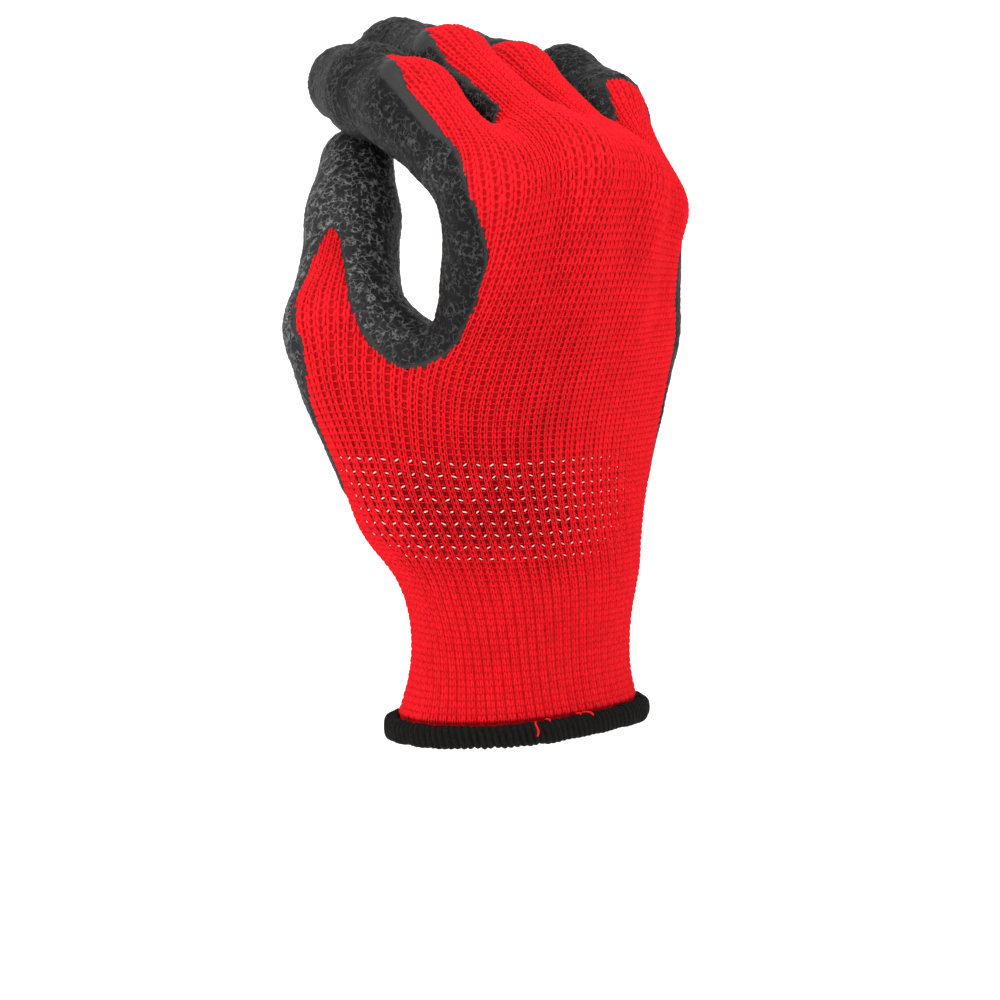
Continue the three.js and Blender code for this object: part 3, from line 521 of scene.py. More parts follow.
def coarse_net():
    """The net of the part's source, evened out. Rows keep their places, or reach past the web and way to the tip."""
    net = Net(K, W, T)
    places = row_places(0, CROTCH)
    rings = through_rows(cuff_rings(net), places)
    ids = [net.add(rings[0], TOGETHER)]
    ids += [net.add(settle(ring, TOGETHER), TOGETHER) for ring in rings[1:]]
    net.tubes["cuff"] = np.stack(ids)
    net.rows["cuff"] = np.array(places, float)
    crotch = ids[-1]
    net.ridge = net.add(ridge_points(THUMB_WEB, between(W)), TOGETHER)
    root = net.upper_root(crotch, net.ridge)
    last_ring, ridges = web_ring(net)
    upper = []
    for section in SECTIONS[CROTCH + 1:]:
        outline = Outline(section, apart("palm", PART_LENGTH))
        start = outline.share_at(section[5]) - 2 * K / net.upper_sides
        upper.append(outline.at_shares(start + np.arange(net.upper_sides) / net.upper_sides))
    places = row_places(CROTCH, KNUCKLES + 1)[1:]
    rings = through_rows([net.points[root], *upper, last_ring], np.array(places) - CROTCH)
    ids = [root]
    for place, ring in zip(places, rings):
        push = apart("palm", (place - CROTCH) * PART_LENGTH)
        ids.append(net.add(settle(ring, push), push))
    net.tubes["palm"] = np.stack(ids)
    net.rows["palm"] = np.array([CROTCH, *places], float)
    net.ridges = [net.add(points, apart("palm", PART_LENGTH)) for points in ridges]
    for f, name in enumerate(FINGERS):
        add_digit(net, name, net.finger_root(f, ids[-1], net.ridges), FINGER_STATIONS, WEB_PLACE)
    add_digit(net, "thumb", net.thumb_root(crotch, net.ridge), THUMB_STATIONS, 0)
    net.smooth(passes=12, share=0.6)
    return net


def add_digit(net, name, root, stations, first_station):
    """Adds the rows of a digit above its root ring, its rounded end and its pole."""
    tip = DIGITS[name][-1]
    angles = wale_angles(name, np.arange(len(root)))
    ids, rows = [root], []
    reach = 0.0
    middle = digit_axes(name, first_station)[0]
    for station in stations:
        axes = digit_axes(name, station)
        reach += np.linalg.norm(axes[0] - middle)
        middle = axes[0]
        push = apart(name, reach)
        ids.append(net.add(digit_points(axes, angles, 0, push), push))
        rows.append((reach, np.linalg.norm(middle - tip[:3]) + tip[3]))
    for cap in range(1, CAP_RINGS + 1):
        rise = math.pi / 2 * cap / (CAP_RINGS + 1)
        ids.append(net.add(digit_points(axes, angles, rise, push), push))
        rows.append((reach, tip[3] * (1 - math.sin(rise))))
    pole = net.add(cast(axes[0], axes[1][None], push), push)
    net.tubes[name] = np.stack([*ids, np.repeat(pole, len(root))])
    net.rows[name] = np.array([(0, rows[0][1] + rows[0][0]), *rows, (reach, 0)])


def split_rows(rings):
    """Places of the real courses in a tube, counted in its coarse rows: each band is split by its own height."""
    places = [0.0]
    for band, height in enumerate(np.linalg.norm(np.diff(rings, axis=0), axis=2).mean(1)):
        count = max(1, round(height / COURSE))
        places += [band + (i + 1) / count for i in range(count)]
    return np.array(places)


def fine_net(coarse):
    """The net of real wales and courses, drawn smoothly through the coarse one and put back on the face."""
    net = Net(FINE_K, FINE_W, FINE_T)
    old = coarse.points

    def prolong(tube):
        """Rings of real courses and wales, drawn through the coarse rings of a tube."""
        rings = old[coarse.tubes[tube]]
        places = split_rows(rings)
        rows = coarse.rows[tube]
        columns = [np.interp(places, np.arange(len(rows)), column) for column in np.atleast_2d(rows.T)]
        net.rows[tube] = np.stack(columns, 1)
        return round_rings(through_rows(rings, places), coarse_places(tube))

    def over_ridge(back, ridge, front):
        """The parabola from a web's back through the middle of its coarse ridge to its front."""
        s = between(net.w)[:, None]
        middle = old[ridge[len(ridge) // 2]]
        return old[back] * (1 - s) * (1 - 2 * s) + 4 * middle * s * (1 - s) + old[front] * s * (2 * s - 1)

    net.tubes["cuff"] = np.stack([net.add(ring, TOGETHER) for ring in prolong("cuff")])
    crotch = net.tubes["cuff"][-1]
    old_crotch = coarse.tubes["cuff"][-1]
    net.ridge = net.add(over_ridge(old_crotch[0], coarse.ridge, old_crotch[coarse.palm_end]), TOGETHER)
    fine = prolong("palm")
    ids = [net.upper_root(crotch, net.ridge)]
    for place, ring in zip(net.rows["palm"][1:, 0], fine[1:]):
        ids.append(net.add(ring, apart("palm", (place - CROTCH) * PART_LENGTH)))
    net.tubes["palm"] = np.stack(ids)
    last = coarse.tubes["palm"][-1]
    net.ridges = []
    for f, ridge in enumerate(coarse.ridges, 1):
        points = over_ridge(last[f * K], ridge, last[coarse.palm_end - f * K])
        net.ridges.append(net.add(points, apart("palm", PART_LENGTH)))
    for f, name in enumerate(TUBES, -1):
        root = net.thumb_root(crotch, net.ridge) if name == "thumb" else net.finger_root(f, ids[-1], net.ridges)
        fine = prolong(name)
        rings = [root]
        for reach, ring in zip(net.rows[name][1:-1, 0], fine[1:-1]):
            rings.append(net.add(ring, apart(name, reach)))
        pole = net.add(fine[-1][:1], apart(name, net.rows[name][-1, 0]))
        net.tubes[name] = np.stack([*rings, np.repeat(pole, len(root))])
    net.smooth(passes=14, share=0.5)
    net.normals = face_normals(net.points, net.pushes)
    net.coat = coat_measure(net)
    net.stretch = stretch_measure(net)
    return net


def stretch_measure(net):
    """How open the knit is, 0 to 1: by wale on the palm block, by side on the fingers, and uneven over 5 to 9 mm."""
    stretch = np.full(len(net.points), FINGER_STRETCH)
    for tube in ("palm", "cuff"):
        ids = net.tubes[tube]
        wales = np.interp(coarse_places(tube), STRETCH_WALES, STRETCH)
        # toward the webs, from 105 to 125 mm up, half of it gives way to the fingers' own
        share = np.clip((net.points[ids][:, :, 2] - 105) / 20, 0, 1)
        stretch[ids] = wales * (1 - share) + share * (FINGER_STRETCH * 0.5 + 0.5 * wales)
    for name in TUBES:
        turn = np.sin(wale_angles(name, coarse_places(name)))
        stretch[net.tubes[name][1:]] = THUMB_STRETCH if name == "thumb" else FINGER_STRETCH * (1 - 0.5 * turn)
    return np.clip(stretch * (1 + 0.35 * noise(net.points / (5.0, 5.0, 9.0), 21)), 0, 1)


def coat_measure(net):
    """How far inside the latex each point lies, in millimetres: the larger of its tube's own edges and the oval bay."""
    coat = np.full(len(net.points), -99.0)
    for tube in ("palm", "cuff"):
        ids = net.tubes[tube]
        rows = net.rows[tube][:, 0]
        wales = coarse_places(tube)
        far = (wales - 4 * K) * WALE_PITCH + through_rows(COAT_FAR, rows)[:, None] * WALE_PITCH * K
        if tube == "cuff":
            near = (8 * K + 2 * W + 2 * T - wales) * WALE_PITCH - through_rows(COAT_BALL, rows)[:, None]
            coat[ids] = np.minimum(np.minimum(far, near), net.points[ids][:, :, 2] - COAT_LOWEST)
        else:
            coat[ids] = np.maximum((through_rows(COAT_NEAR, rows)[:, None] * K - wales) * WALE_PITCH, far)
    # the webs between the fingers turn from bare on the back (-9) to coated on the palm side
    for ridge in net.ridges:
        coat[ridge] = -9 + 12 * between(net.w)
    coat[net.ridge] = WEB_RADIUS
    for name in TUBES:
        reach, to_tip = net.rows[name][1:].T
        angles = wale_angles(name, coarse_places(name))
        measure = thumb_coat(angles, reach) if name == "thumb" else finger_coat(name, angles, reach, to_tip)
        coat[net.tubes[name][1:]] = measure
    turn, tilt = math.radians(BAY["turn"]), math.radians(BAY["tilt"])
    across = np.array((math.cos(turn), math.sin(turn), 0))
    upward = np.array((-math.sin(turn) * math.sin(tilt), math.cos(turn) * math.sin(tilt), math.cos(tilt)))
    q = net.points - BAY["middle"]
    share = np.hypot(q @ across / BAY["half_width"], q @ upward / BAY["half_height"])
    return np.maximum(coat, (1 - share) * BAY["half_width"])


def finger_coat(name, angles, reach, to_tip):
    """Latex outside a finger's bare strip: past its side edges, short of its slanting start, and at the tip."""
    near, far, end, web = STRIPS[name]
    turn = np.degrees(np.arctan2(np.sin(angles), np.cos(angles)))[None]
    closing = STRIP_CLOSE * np.clip(1 - (to_tip - end) / STRIP_POINT, 0, 1)[:, None]
    side = np.radians(np.abs(turn) - np.where(turn < 0, near, far) + closing) * DIGITS[name][1, 3]
    slant = np.abs(turn) - 90
    past = reach[:, None] - web + np.where(slant > 0, PALM_SLANT, BACK_SLANT) * slant
    outside = ((name == "index") & (turn < 0)) | ((name == "little") & (turn > 0))
    return np.maximum(np.where(outside, side, np.minimum(side, past)), end - to_tip[:, None])


def thumb_coat(angles, reach):
    """Latex outside the bare wedge on the thumb, whose two edges close in with the distance past the web."""
    past = np.minimum(reach, WEDGE[-1, 0])[:, None]
    low, high = (np.interp(past, WEDGE[:, 0], WEDGE[:, column]) for column in (1, 2))
    turn = np.degrees(angles)[None]
    return np.radians(np.maximum(low - turn, turn - high)) * DIGITS["thumb"][0, 3]


@functools.cache
def glove_net():
    """The fine net, its cells and where each lies (tube, row, wale), worked out once."""
    net = fine_net(coarse_net())
    return net, *net.cells()


def cell_heights(net, cells):
    """How far up the glove the middle of each cell lies."""
    return net.points[cells][:, :, 2].mean(1)


def exposed(net, cells):
    """Cells not hidden under latex."""
    return net.coat[cells].min(1) < HIDDEN_DEPTH


# ---------------------------------------------------------------- meshes from whole arrays

def make_mesh(name, points, faces, material, node, slot, **values):
    """A piece from points in millimetres, an array of faces for each number of corners, and values at its points."""
    mesh = bpy.data.meshes.new(name)
    points = np.asarray(points, np.float32).reshape(-1, 3) * MM
    faces = [np.asarray(f, np.int32) for f in faces if len(f)]
    sizes = np.concatenate([np.full(len(f), f.shape[1], np.int32) for f in faces])
    mesh.vertices.add(len(points))
    mesh.vertices.foreach_set("co", points.ravel())
    mesh.loops.add(int(sizes.sum()))
    mesh.loops.foreach_set("vertex_index", np.concatenate([f.ravel() for f in faces]))
    mesh.polygons.add(len(sizes))
    mesh.polygons.foreach_set("loop_start", np.concatenate([[0], np.cumsum(sizes)[:-1]]).astype(np.int32))
    mesh.polygons.foreach_set("use_smooth", np.ones(len(sizes), bool))
    for label, value in values.items():
        layer = mesh.attributes.new(label, "FLOAT", "POINT")
        layer.data.foreach_set("value", np.asarray(value, np.float32).ravel())
    mesh.update(calc_edges=True)
    mesh.validate()
    piece = bpy.data.objects.new(name, mesh)
    bpy.context.scene.collection.objects.link(piece)
    mesh.materials.append(material)
    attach(piece, "root")
    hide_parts(node)


def split_faces(faces):
    """Four-sided faces, and those with one doubled corner as triangles."""
    doubled = faces == np.roll(faces, -1, axis=1)
    closed = faces[doubled.sum(1) == 1]
    keep = np.arange(4)[None] != doubled[doubled.sum(1) == 1].argmax(1)[:, None]
    return faces[~doubled.any(1)], closed[keep].reshape(-1, 3)


def grid_faces(rows, columns, close_rows=False, close_columns=False):
    """Four-sided faces of a grid of points, each from its low corner along its row. The grid may close on itself."""
    i, j = np.indices((rows if close_rows else rows - 1, columns if close_columns else columns - 1))
    corners = [(i + a) % rows * columns + (j + b) % columns for a, b in ((0, 0), (0, 1), (1, 1), (1, 0))]
    return np.stack(corners, -1).reshape(-1, 4)


def strand_faces(count, stations, sides, start=0, step=1):
    """Faces round many strands whose points run station by station, and their end faces. Step -1 turns them over."""
    first = np.arange(sides)[::-1]
    ends = np.stack([first, first[::-1] + (stations - 1) * sides])
    offsets = start + np.arange(count)[:, None, None] * (stations * sides)
    quads = grid_faces(stations, sides, close_columns=True) + offsets
    return quads[..., ::step].reshape(-1, 4), (ends + offsets)[..., ::step].reshape(-1, sides)


def mixing(u, v):
    """Shares of a cell's four corners at a place in it."""
    return np.stack([(1 - u) * (1 - v), u * (1 - v), u * v, (1 - u) * v], -1)


def mixed(shares, values):
    """Points or normals mixed from the corners of each cell."""
    return np.einsum("mtk,mkc->mtc", shares, values)


def place_template(net, cells, u, v, height):
    """Points of a template in each cell: its corners mixed by place, then raised along the mixed normal."""
    shares = mixing(u, v)
    return mixed(shares, net.points[cells]) + unit(mixed(shares, net.normals[cells])) * height[..., None]


def noise(p, seed):
    """Value noise from -1 to 1: a number worked out at each corner of unit cubes, eased between them."""
    low = np.floor(p).astype(np.int64)
    t = p - low
    t = t * t * (3 - 2 * t)
    total = np.zeros(len(p))
    for corner in np.ndindex(2, 2, 2):
        c = low + corner
        h = (c[:, 0] * 374761393 + c[:, 1] * 668265263 + c[:, 2] * 2147483647 + seed * 974634777) & 0xFFFFFFFF
        h = ((h ^ (h >> 13)) * 1274126177) & 0xFFFFFFFF
        h = ((h ^ (h >> 16)) * 2246822519) & 0xFFFFFFFF
        total += (h ^ (h >> 15)) / 0xFFFFFFFF * np.prod(np.where(corner, t, 1 - t), axis=1)
    return total * 2 - 1


def wrinkles(p, pitch):
    """Worm-like ridges: highest where two bent noises pass through zero, at the given pitch in millimetres."""
    q = p / pitch
    bent = q + 0.55 * np.stack([noise(q * 0.9 + 7, 1), noise(q * 0.9 + 19, 2), noise(q * 0.9 + 31, 3)], 1)
    first = np.clip(1 - np.abs(noise(bent, 4)) / 0.30, 0, 1)
    second = np.clip(1 - np.abs(noise(bent * 1.7 + 5, 5)) / 0.34, 0, 1)
    return np.maximum(first, 0.75 * second)


def groove(key, z):
    """A column of the table of grooves, at heights up the glove."""
    return np.interp(z, GROOVES["z"], GROOVES[key])


def rib_shape(wales, z):
    """Height of the ribs at places counted in wales: a cosine, two wales long, that grows in below the palm."""
    return groove("relief", z) * RIB_RELIEF * (0.5 * np.cos(math.pi * wales) - 0.1)


# ---------------------------------------------------------------- materials

MULTIPLY, MULTIPLY_ADD, COLOURS = {"operation": "MULTIPLY"}, {"operation": "MULTIPLY_ADD"}, {"data_type": "RGBA"}


def linear(code):
    """An sRGB hex colour as linear red, green, blue and alpha."""
    values = [int(code[i:i + 2], 16) / 255 for i in (1, 3, 5)]
    return [v / 12.92 if v <= 0.04045 else ((v + 0.055) / 1.055) ** 2.4 for v in values] + [1.0]


def set_inputs(node, **inputs):
    """Sets or links a node's inputs. Each is named, or numbered after an underscore, with its value or its source."""
    for key, value in inputs.items():
        socket = node.inputs[int(key[1:])] if key[0] == "_" else node.inputs[key.replace("_", " ")]
        if isinstance(value, bpy.types.NodeSocket):
            node.id_data.links.new(value, socket)
        else:
            socket.default_value = value


def add_node(tree, kind, output=0, settings=None, **inputs):
    """Adds a node with its settings and inputs, and gives the output that is wanted."""
    node = tree.nodes.new(kind)
    for key, value in (settings or {}).items():
        setattr(node, key, value)
    set_inputs(node, **inputs)
    return node.outputs[output]


def new_material(name):
    """A material, its node tree, its Principled surface and the place that patterns read."""
    material = bpy.data.materials.new(name)
    material.use_nodes = True
    tree = material.node_tree
    return material, tree, tree.nodes["Principled BSDF"], add_node(tree, "ShaderNodeTexCoord", "Object")


def acrylic_yarn(name, colour):
    """Brushed acrylic knitting yarn: matt, a little hairy, slightly uneven from stitch to stitch."""
    material, tree, surface, place = new_material(name)
    # fibres: about 0.15 mm apart, drawn at 0.3 mm to show
    fibres = add_node(tree, "ShaderNodeTexNoise", Vector=place, Scale=1 / 0.0003, Detail=2.0)
    # wear and dye: slow changes over about 12 mm
    dye = add_node(tree, "ShaderNodeTexNoise", Vector=place, Scale=1 / 0.012, Detail=1.0)
    shade = add_node(tree, "ShaderNodeAttribute", "Fac", {"attribute_name": "shade"})
    light = add_node(tree, "ShaderNodeMath", 0, MULTIPLY_ADD, _0=fibres, _1=0.36, _2=0.74)
    light = add_node(tree, "ShaderNodeMath", 0, MULTIPLY_ADD, _0=dye, _1=0.16, _2=light)
    light = add_node(tree, "ShaderNodeMath", 0, {"operation": "ADD"}, _0=light, _1=shade)
    tint = add_node(tree, "ShaderNodeHueSaturation", Color=colour, Value=light)
    relief = add_node(tree, "ShaderNodeBump", Strength=0.5, Distance=0.0001, Height=fibres)
    set_inputs(surface, Base_Color=tint, Normal=relief, Roughness=0.95, Specular_IOR_Level=0.05,
               Sheen_Weight=0.15, Sheen_Roughness=0.6, Sheen_Tint=colour)
    return material


def plain_cloth(name, colour):
    """The hidden back of a knit: matt, painted dark as shade in the holes, with a faint grain of 0.8 mm loops."""
    material, tree, surface, place = new_material(name)
    loops = add_node(tree, "ShaderNodeTexVoronoi", "Distance", Vector=place, Scale=1 / 0.0008)
    light = add_node(tree, "ShaderNodeMath", 0, MULTIPLY_ADD, _0=loops, _1=-0.5, _2=1.1)
    # painted shade: the cloth is made darker by its shade values, and lighter where they fall below zero
    shade = add_node(tree, "ShaderNodeAttribute", "Fac", {"attribute_name": "shade"})
    light = add_node(tree, "ShaderNodeMath", 0, {"operation": "SUBTRACT"}, _0=light, _1=shade)
    tint = add_node(tree, "ShaderNodeHueSaturation", Color=colour, Value=light)
    relief = add_node(tree, "ShaderNodeBump", Strength=0.6, Distance=0.0002, Height=loops)
    set_inputs(surface, Base_Color=tint, Normal=relief, Roughness=0.95, Specular_IOR_Level=0.1)
    return material


def rubber_thread(name, colour):
    """Natural rubber thread: pale and smooth, with a faint grain of 0.7 mm."""
    material, tree, surface, place = new_material(name)
    grain = add_node(tree, "ShaderNodeTexNoise", Vector=place, Scale=1 / 0.0007)
    light = add_node(tree, "ShaderNodeMath", 0, MULTIPLY_ADD, _0=grain, _1=0.5, _2=0.75)
    tint = add_node(tree, "ShaderNodeHueSaturation", Color=colour, Value=light)
    set_inputs(surface, Base_Color=tint, Roughness=0.5)
    return material


def crinkled_latex(name, latex):
    """Natural latex crinkled in a solvent bath: satin black, with thin worm-like ridges painted pale as highlights,
    and a smooth edge.
    """
    material, tree, surface, place = new_material(name)
    pitch = CRINKLE_PITCH * MM
    height = add_node(tree, "ShaderNodeAttribute", "Fac", {"attribute_name": "shade"})
    worn = add_node(tree, "ShaderNodeAttribute", "Fac", {"attribute_name": "worn"})
    # crinkles: the edges between cells one pitch across, in a place bent by a noise of about the same size
    bend = add_node(tree, "ShaderNodeTexNoise", "Color", Vector=place, Scale=0.8 / pitch, Detail=2.0)
    bent = add_node(tree, "ShaderNodeVectorMath", 0, MULTIPLY_ADD, _0=bend, _1=(2.0 * pitch,) * 3, _2=place)
    edges = {"feature": "DISTANCE_TO_EDGE"}
    cell = add_node(tree, "ShaderNodeTexVoronoi", "Distance", edges, Vector=bent, Scale=1 / pitch)
    fold = add_node(tree, "ShaderNodeMath", 0, {**MULTIPLY_ADD, "use_clamp": True}, _0=cell, _1=-8.0, _2=1.0)
    # the ridges fade out and in again over about two pitches, so that they end like worms
    fade = add_node(tree, "ShaderNodeTexNoise", Vector=place, Scale=0.7 / pitch, Detail=1.0)
    share = add_node(tree, "ShaderNodeMapRange", Value=fade, From_Min=0.38, From_Max=0.53)
    fold = add_node(tree, "ShaderNodeMath", 0, MULTIPLY, _0=fold, _1=share)
    eased = {"interpolation_type": "SMOOTHSTEP"}
    rough = add_node(tree, "ShaderNodeMapRange", 0, eased, Value=height, From_Min=0.0, From_Max=0.5)
    fold = add_node(tree, "ShaderNodeMath", 0, MULTIPLY, _0=fold, _1=rough)
    grain = add_node(tree, "ShaderNodeTexNoise", Vector=place, Scale=1 / 0.0007, Detail=3.0)
    light = add_node(tree, "ShaderNodeMapRange", Value=grain, From_Min=0.3, From_Max=0.7, To_Min=0.45, To_Max=1.6)
    # the thumb's paler body and crest colours, mixed in by that share: painted light
    tone = add_node(tree, "ShaderNodeMix", 2, COLOURS, _0=worn, _6=latex.fine_body, _7=latex.body)
    crest = add_node(tree, "ShaderNodeMix", 2, COLOURS, _0=worn, _6=latex.fine_crest, _7=latex.crest)
    base = add_node(tree, "ShaderNodeHueSaturation", Color=tone, Value=light)
    # painted highlight: the ridges take the pale crest colour
    body = add_node(tree, "ShaderNodeMix", 2, COLOURS, _0=fold, _6=base, _7=crest)
    edge = add_node(tree, "ShaderNodeMix", 2, COLOURS, _0=rough, _6=latex.film, _7=body)
    relief = add_node(tree, "ShaderNodeBump", Strength=1.0, Distance=0.0004, Height=fold)
    set_inputs(surface, Base_Color=edge, Normal=relief, Roughness=0.55, Specular_IOR_Level=0.13)
    return material


def overlock_thread(name, colour):
    """Textured polyester overlock thread: dull black filaments, 0.3 mm thick and drawn at 0.6 mm, side by side."""
    material, tree, surface, place = new_material(name)
    strands = add_node(tree, "ShaderNodeTexNoise", Vector=place, Scale=1 / 0.0006, Detail=3.0)
    light = add_node(tree, "ShaderNodeMath", 0, MULTIPLY_ADD, _0=strands, _1=1.2, _2=0.4)
    # painted light: the crests of the stitches are painted lighter as highlights, and the seams between them darker as
    # shade
    crest = add_node(tree, "ShaderNodeAttribute", "Fac", {"attribute_name": "shade"})
    light = add_node(tree, "ShaderNodeMath", 0, MULTIPLY, _0=light, _1=crest)
    tint = add_node(tree, "ShaderNodeHueSaturation", Color=colour, Value=light)
    relief = add_node(tree, "ShaderNodeBump", Strength=0.8, Distance=0.0003, Height=strands)
    set_inputs(surface, Base_Color=tint, Normal=relief, Roughness=0.85, Specular_IOR_Level=0.12)
    return material


def studio_paper(name, colour):
    """Matt white studio paper, lit from behind so that no shadow or horizon is left on it."""
    material, _, surface, _ = new_material(name)
    set_inputs(surface, Base_Color=colour, Emission_Color=(1, 1, 1, 1), Emission_Strength=0.45, Roughness=1.0,
               Specular_IOR_Level=0.0)
    return material


# ---------------------------------------------------------------- settings


def colour_setting(label, words, code):
    """A colour that a user can change."""
    return FloatVectorProperty(name=label, description=words, subtype="COLOR", size=4, min=0, max=1,
                               default=linear(code))


def length_setting(label, words, millimetres, low, high):
    """A length that a user can change, in metres."""
    return FloatProperty(name=label, description=words, subtype="DISTANCE", unit="LENGTH", default=millimetres * MM,
                         min=low * MM, max=high * MM)


class KnitSettings(bpy.types.PropertyGroup):
    yarn: colour_setting("Yarn", "Colour of the acrylic yarn", "#DA1C25")
    # darker than the yarn: painted shade for the holes between wales
    ground: colour_setting("Ground", "Colour seen in the holes between wales", "#B40810")
    elastic: colour_setting("Elastic", "Colour of the rubber thread in the cuff", "#FFC4B8")
    yarn_height: length_setting("Yarn height", "Half thickness of the yarn, across the cloth", 0.34, 0.1, 0.6)


class LatexSettings(bpy.types.PropertyGroup):
    # the thumb's colours are paler than the others: painted light for the thumb, which faces away from the lamps
    body: colour_setting("Thumb latex, painted lighter", "Colour of the latex on the thumb", "#202020")
    fine_body: colour_setting("Latex", "Colour of the latex on the fingers and palm", "#060606")
    # the crest colours are painted highlights on the ridges of the crinkles, paler still on the thumb as painted light
    crest: colour_setting("Thumb crests, painted lighter", "Colour of the crests of the crinkles on the thumb", "#868686")
    fine_crest: colour_setting("Crests", "Colour of the crests of the crinkles on the fingers and palm", "#474747")
    film: colour_setting("Film", "Colour of the thin film at the latex edge", "#2C2C2C")
    crinkle: length_setting("Crinkle height", "How far the crinkles stand up", 0.3, 0.0, 0.8)


class HemSettings(bpy.types.PropertyGroup):
    thread: colour_setting("Thread", "Colour of the overlock thread", "#0D0C0B")
    ridge: length_setting("Stitch relief", "How far each overlock stitch stands out", 0.8, 0.0, 1.0)


class StageSettings(bpy.types.PropertyGroup):
    paper: colour_setting("Paper", "Colour of the floor and backdrop", "#F7F7F7")
    distance: length_setting("Camera distance", "From the camera to the middle of the glove", 900, 300, 3000)


# ---------------------------------------------------------------- pieces


class GLOVE_OT_ground(bpy.types.Operator):
    """Build the liner's ground: the cloth behind the stitches, with its inner face and rim"""

    bl_idname = "glove.ground"
    bl_label = "Liner ground"

    def execute(self, context):
        net, cells, _ = glove_net()
        count = len(net.points)
        ids = net.tubes["cuff"]
        lift = -groove("depth", net.points[:, 2]) * (0.4 + 0.6 * net.stretch)
        lift[ids] += rib_shape(np.broadcast_to(np.arange(ids.shape[1]), ids.shape), net.points[ids][:, :, 2])
        points = np.concatenate([net.points + net.normals * lift[:, None], net.points - net.normals * LINER_WALL])
        # the edge runs on down inside the hem that is sewn over it
        rim, edge = ids[0], np.roll(ids[0], -1)
        points[rim, 2] -= RIM_TUCK
        points[rim + count, 2] -= RIM_TUCK
        faces = np.concatenate([cells, cells[:, ::-1] + count, np.stack([rim, rim + count, edge + count, edge], 1)])
        material = plain_cloth("acrylic_knit_ground", tuple(context.scene.glove_knit.ground))
        # painted shade: darkest in the deep grooves of the elastic band, lighter in the low cuff and where the cloth is
        # slack
        shade = groove("dark", points[:, 2]) - 0.12 * (1 - np.tile(net.stretch, 2))
        make_mesh("liner_ground", points, split_faces(faces), material, "knit_liner", "knit", shade=shade)
        return {"FINISHED"}


def cuff_warp(net, cells, where, u, z):
    """Places across and rib heights in the cuff, where wales close up in pairs and a groove opens beside each pair."""
    opening = groove("open", z) * (where[:, 0] < 2)[:, None] * net.stretch[cells].mean(1)[:, None]
    odd = (where[:, 2] % 2 == 1)[:, None]
    from_groove = np.where(odd, u, 1 - u)
    moved = opening + from_groove * (1 - opening)
    return np.where(odd, moved, 1 - moved), rib_shape(1 - from_groove, z) * (where[:, 0] == 0)[:, None]


class GLOVE_OT_stitches(bpy.types.Operator):
    """Knit the stitches that show: two legs each, in pairs along every wale, and the bars between wales"""

    bl_idname = "glove.stitches"
    bl_label = "Stitches"

    def execute(self, context):
        knit = context.scene.glove_knit
        net, cells, where = glove_net()
        material = acrylic_yarn("brushed_acrylic_yarn", tuple(knit.yarn))
        shown = exposed(net, cells) & (cells[:, 2] != cells[:, 3]) & (cells[:, 0] != cells[:, 1])
        in_cuff = where[:, 0] == 0
        height = cell_heights(net, cells)
        groups = {
            "cuff_stitches": in_cuff & (height < WRIST_LOW),
            "wrist_stitches": in_cuff & (height >= WRIST_LOW) & (height < HEEL_LOW),
            "heel_stitches": in_cuff & (height >= HEEL_LOW),
            "hand_stitches": where[:, 0] == 1,
            "digit_stitches": where[:, 0] > 1,
        }
        shades = np.random.default_rng(11).normal(0, VARY_SHADE, len(cells))
        for name, group in groups.items():
            pick = shown & group
            self.knit_group(name, net, cells[pick], where[pick], shades[pick], knit.yarn_height / MM, material)
        return {"FINISHED"}

    def knit_group(self, name, net, cells, where, shades, half_height, material):
        """All the legs and bars of some cells as one piece. Where the cloth is slack the yarn covers the holes."""
        count = len(cells)
        z = cell_heights(net, cells)[:, None]
        width = groove("width", z[:, 0]) * (1 + SLACK_WIDENING * (1 - net.stretch[cells].mean(1)))
        templates = []
        rng = np.random.default_rng(count)
        for mirrored in (False, True):
            uneven = (width * (1 + rng.normal(0, VARY_WIDTH, count)))[:, None, None]
            centre = 1 - LEG[:, :1] if mirrored else LEG[:, :1]
            u = centre + rng.normal(0, VARY_PLACE, (count, 1, 1)) + uneven * LEG[:, 3:] * (-1, 1, 0)
            w = YARN_REST + LEG[:, 2:3] + half_height * np.array((-0.6, -0.6, 1.0))
            w = w + rng.normal(0, VARY_HEIGHT, (count, 1, 1))
            templates.append((u, np.repeat(LEG[:, 1:2], 3, 1), w))
        # the bar to the next wale, low between the two
        v = 0.30 + BAR[:, 1:2] * (-1, 1, 0)
        templates.append((np.repeat(BAR[:, :1], 3, 1), v, YARN_REST + BAR[:, 2:] + (-0.2, -0.2, 0.12)))
        points, quads, ends, shade = [], [], [], []
        start = 0
        for template in templates:
            size = template[1].size
            u, v, w = (np.broadcast_to(values.reshape(-1, size), (count, size)) for values in template)
            leg = size == LEG.shape[0] * 3
            if leg:
                across, height = cuff_warp(net, cells, where, u, z)
            else:
                across, height = u, rib_shape(np.where(where[:, 2:] % 2 == 1, 0.0, 1.0), z) * (where[:, :1] == 0)
            points.append(place_template(net, cells, across, v, w + height).reshape(-1, 3))
            # across, then up, then height is a right-handed set, so a leg's faces are turned as it runs down
            tubes, caps = strand_faces(count, size // 3, 3, start, -1 if leg else 1)
            quads.append(tubes)
            ends.append(caps)
            shade.append(np.repeat(shades, size))
            start += count * size
        points, quads, ends, shade = (np.concatenate(arrays) for arrays in (points, quads, ends, shade))
        make_mesh(name, points, [quads, ends], material, "knit_liner", "knit", shade=shade)


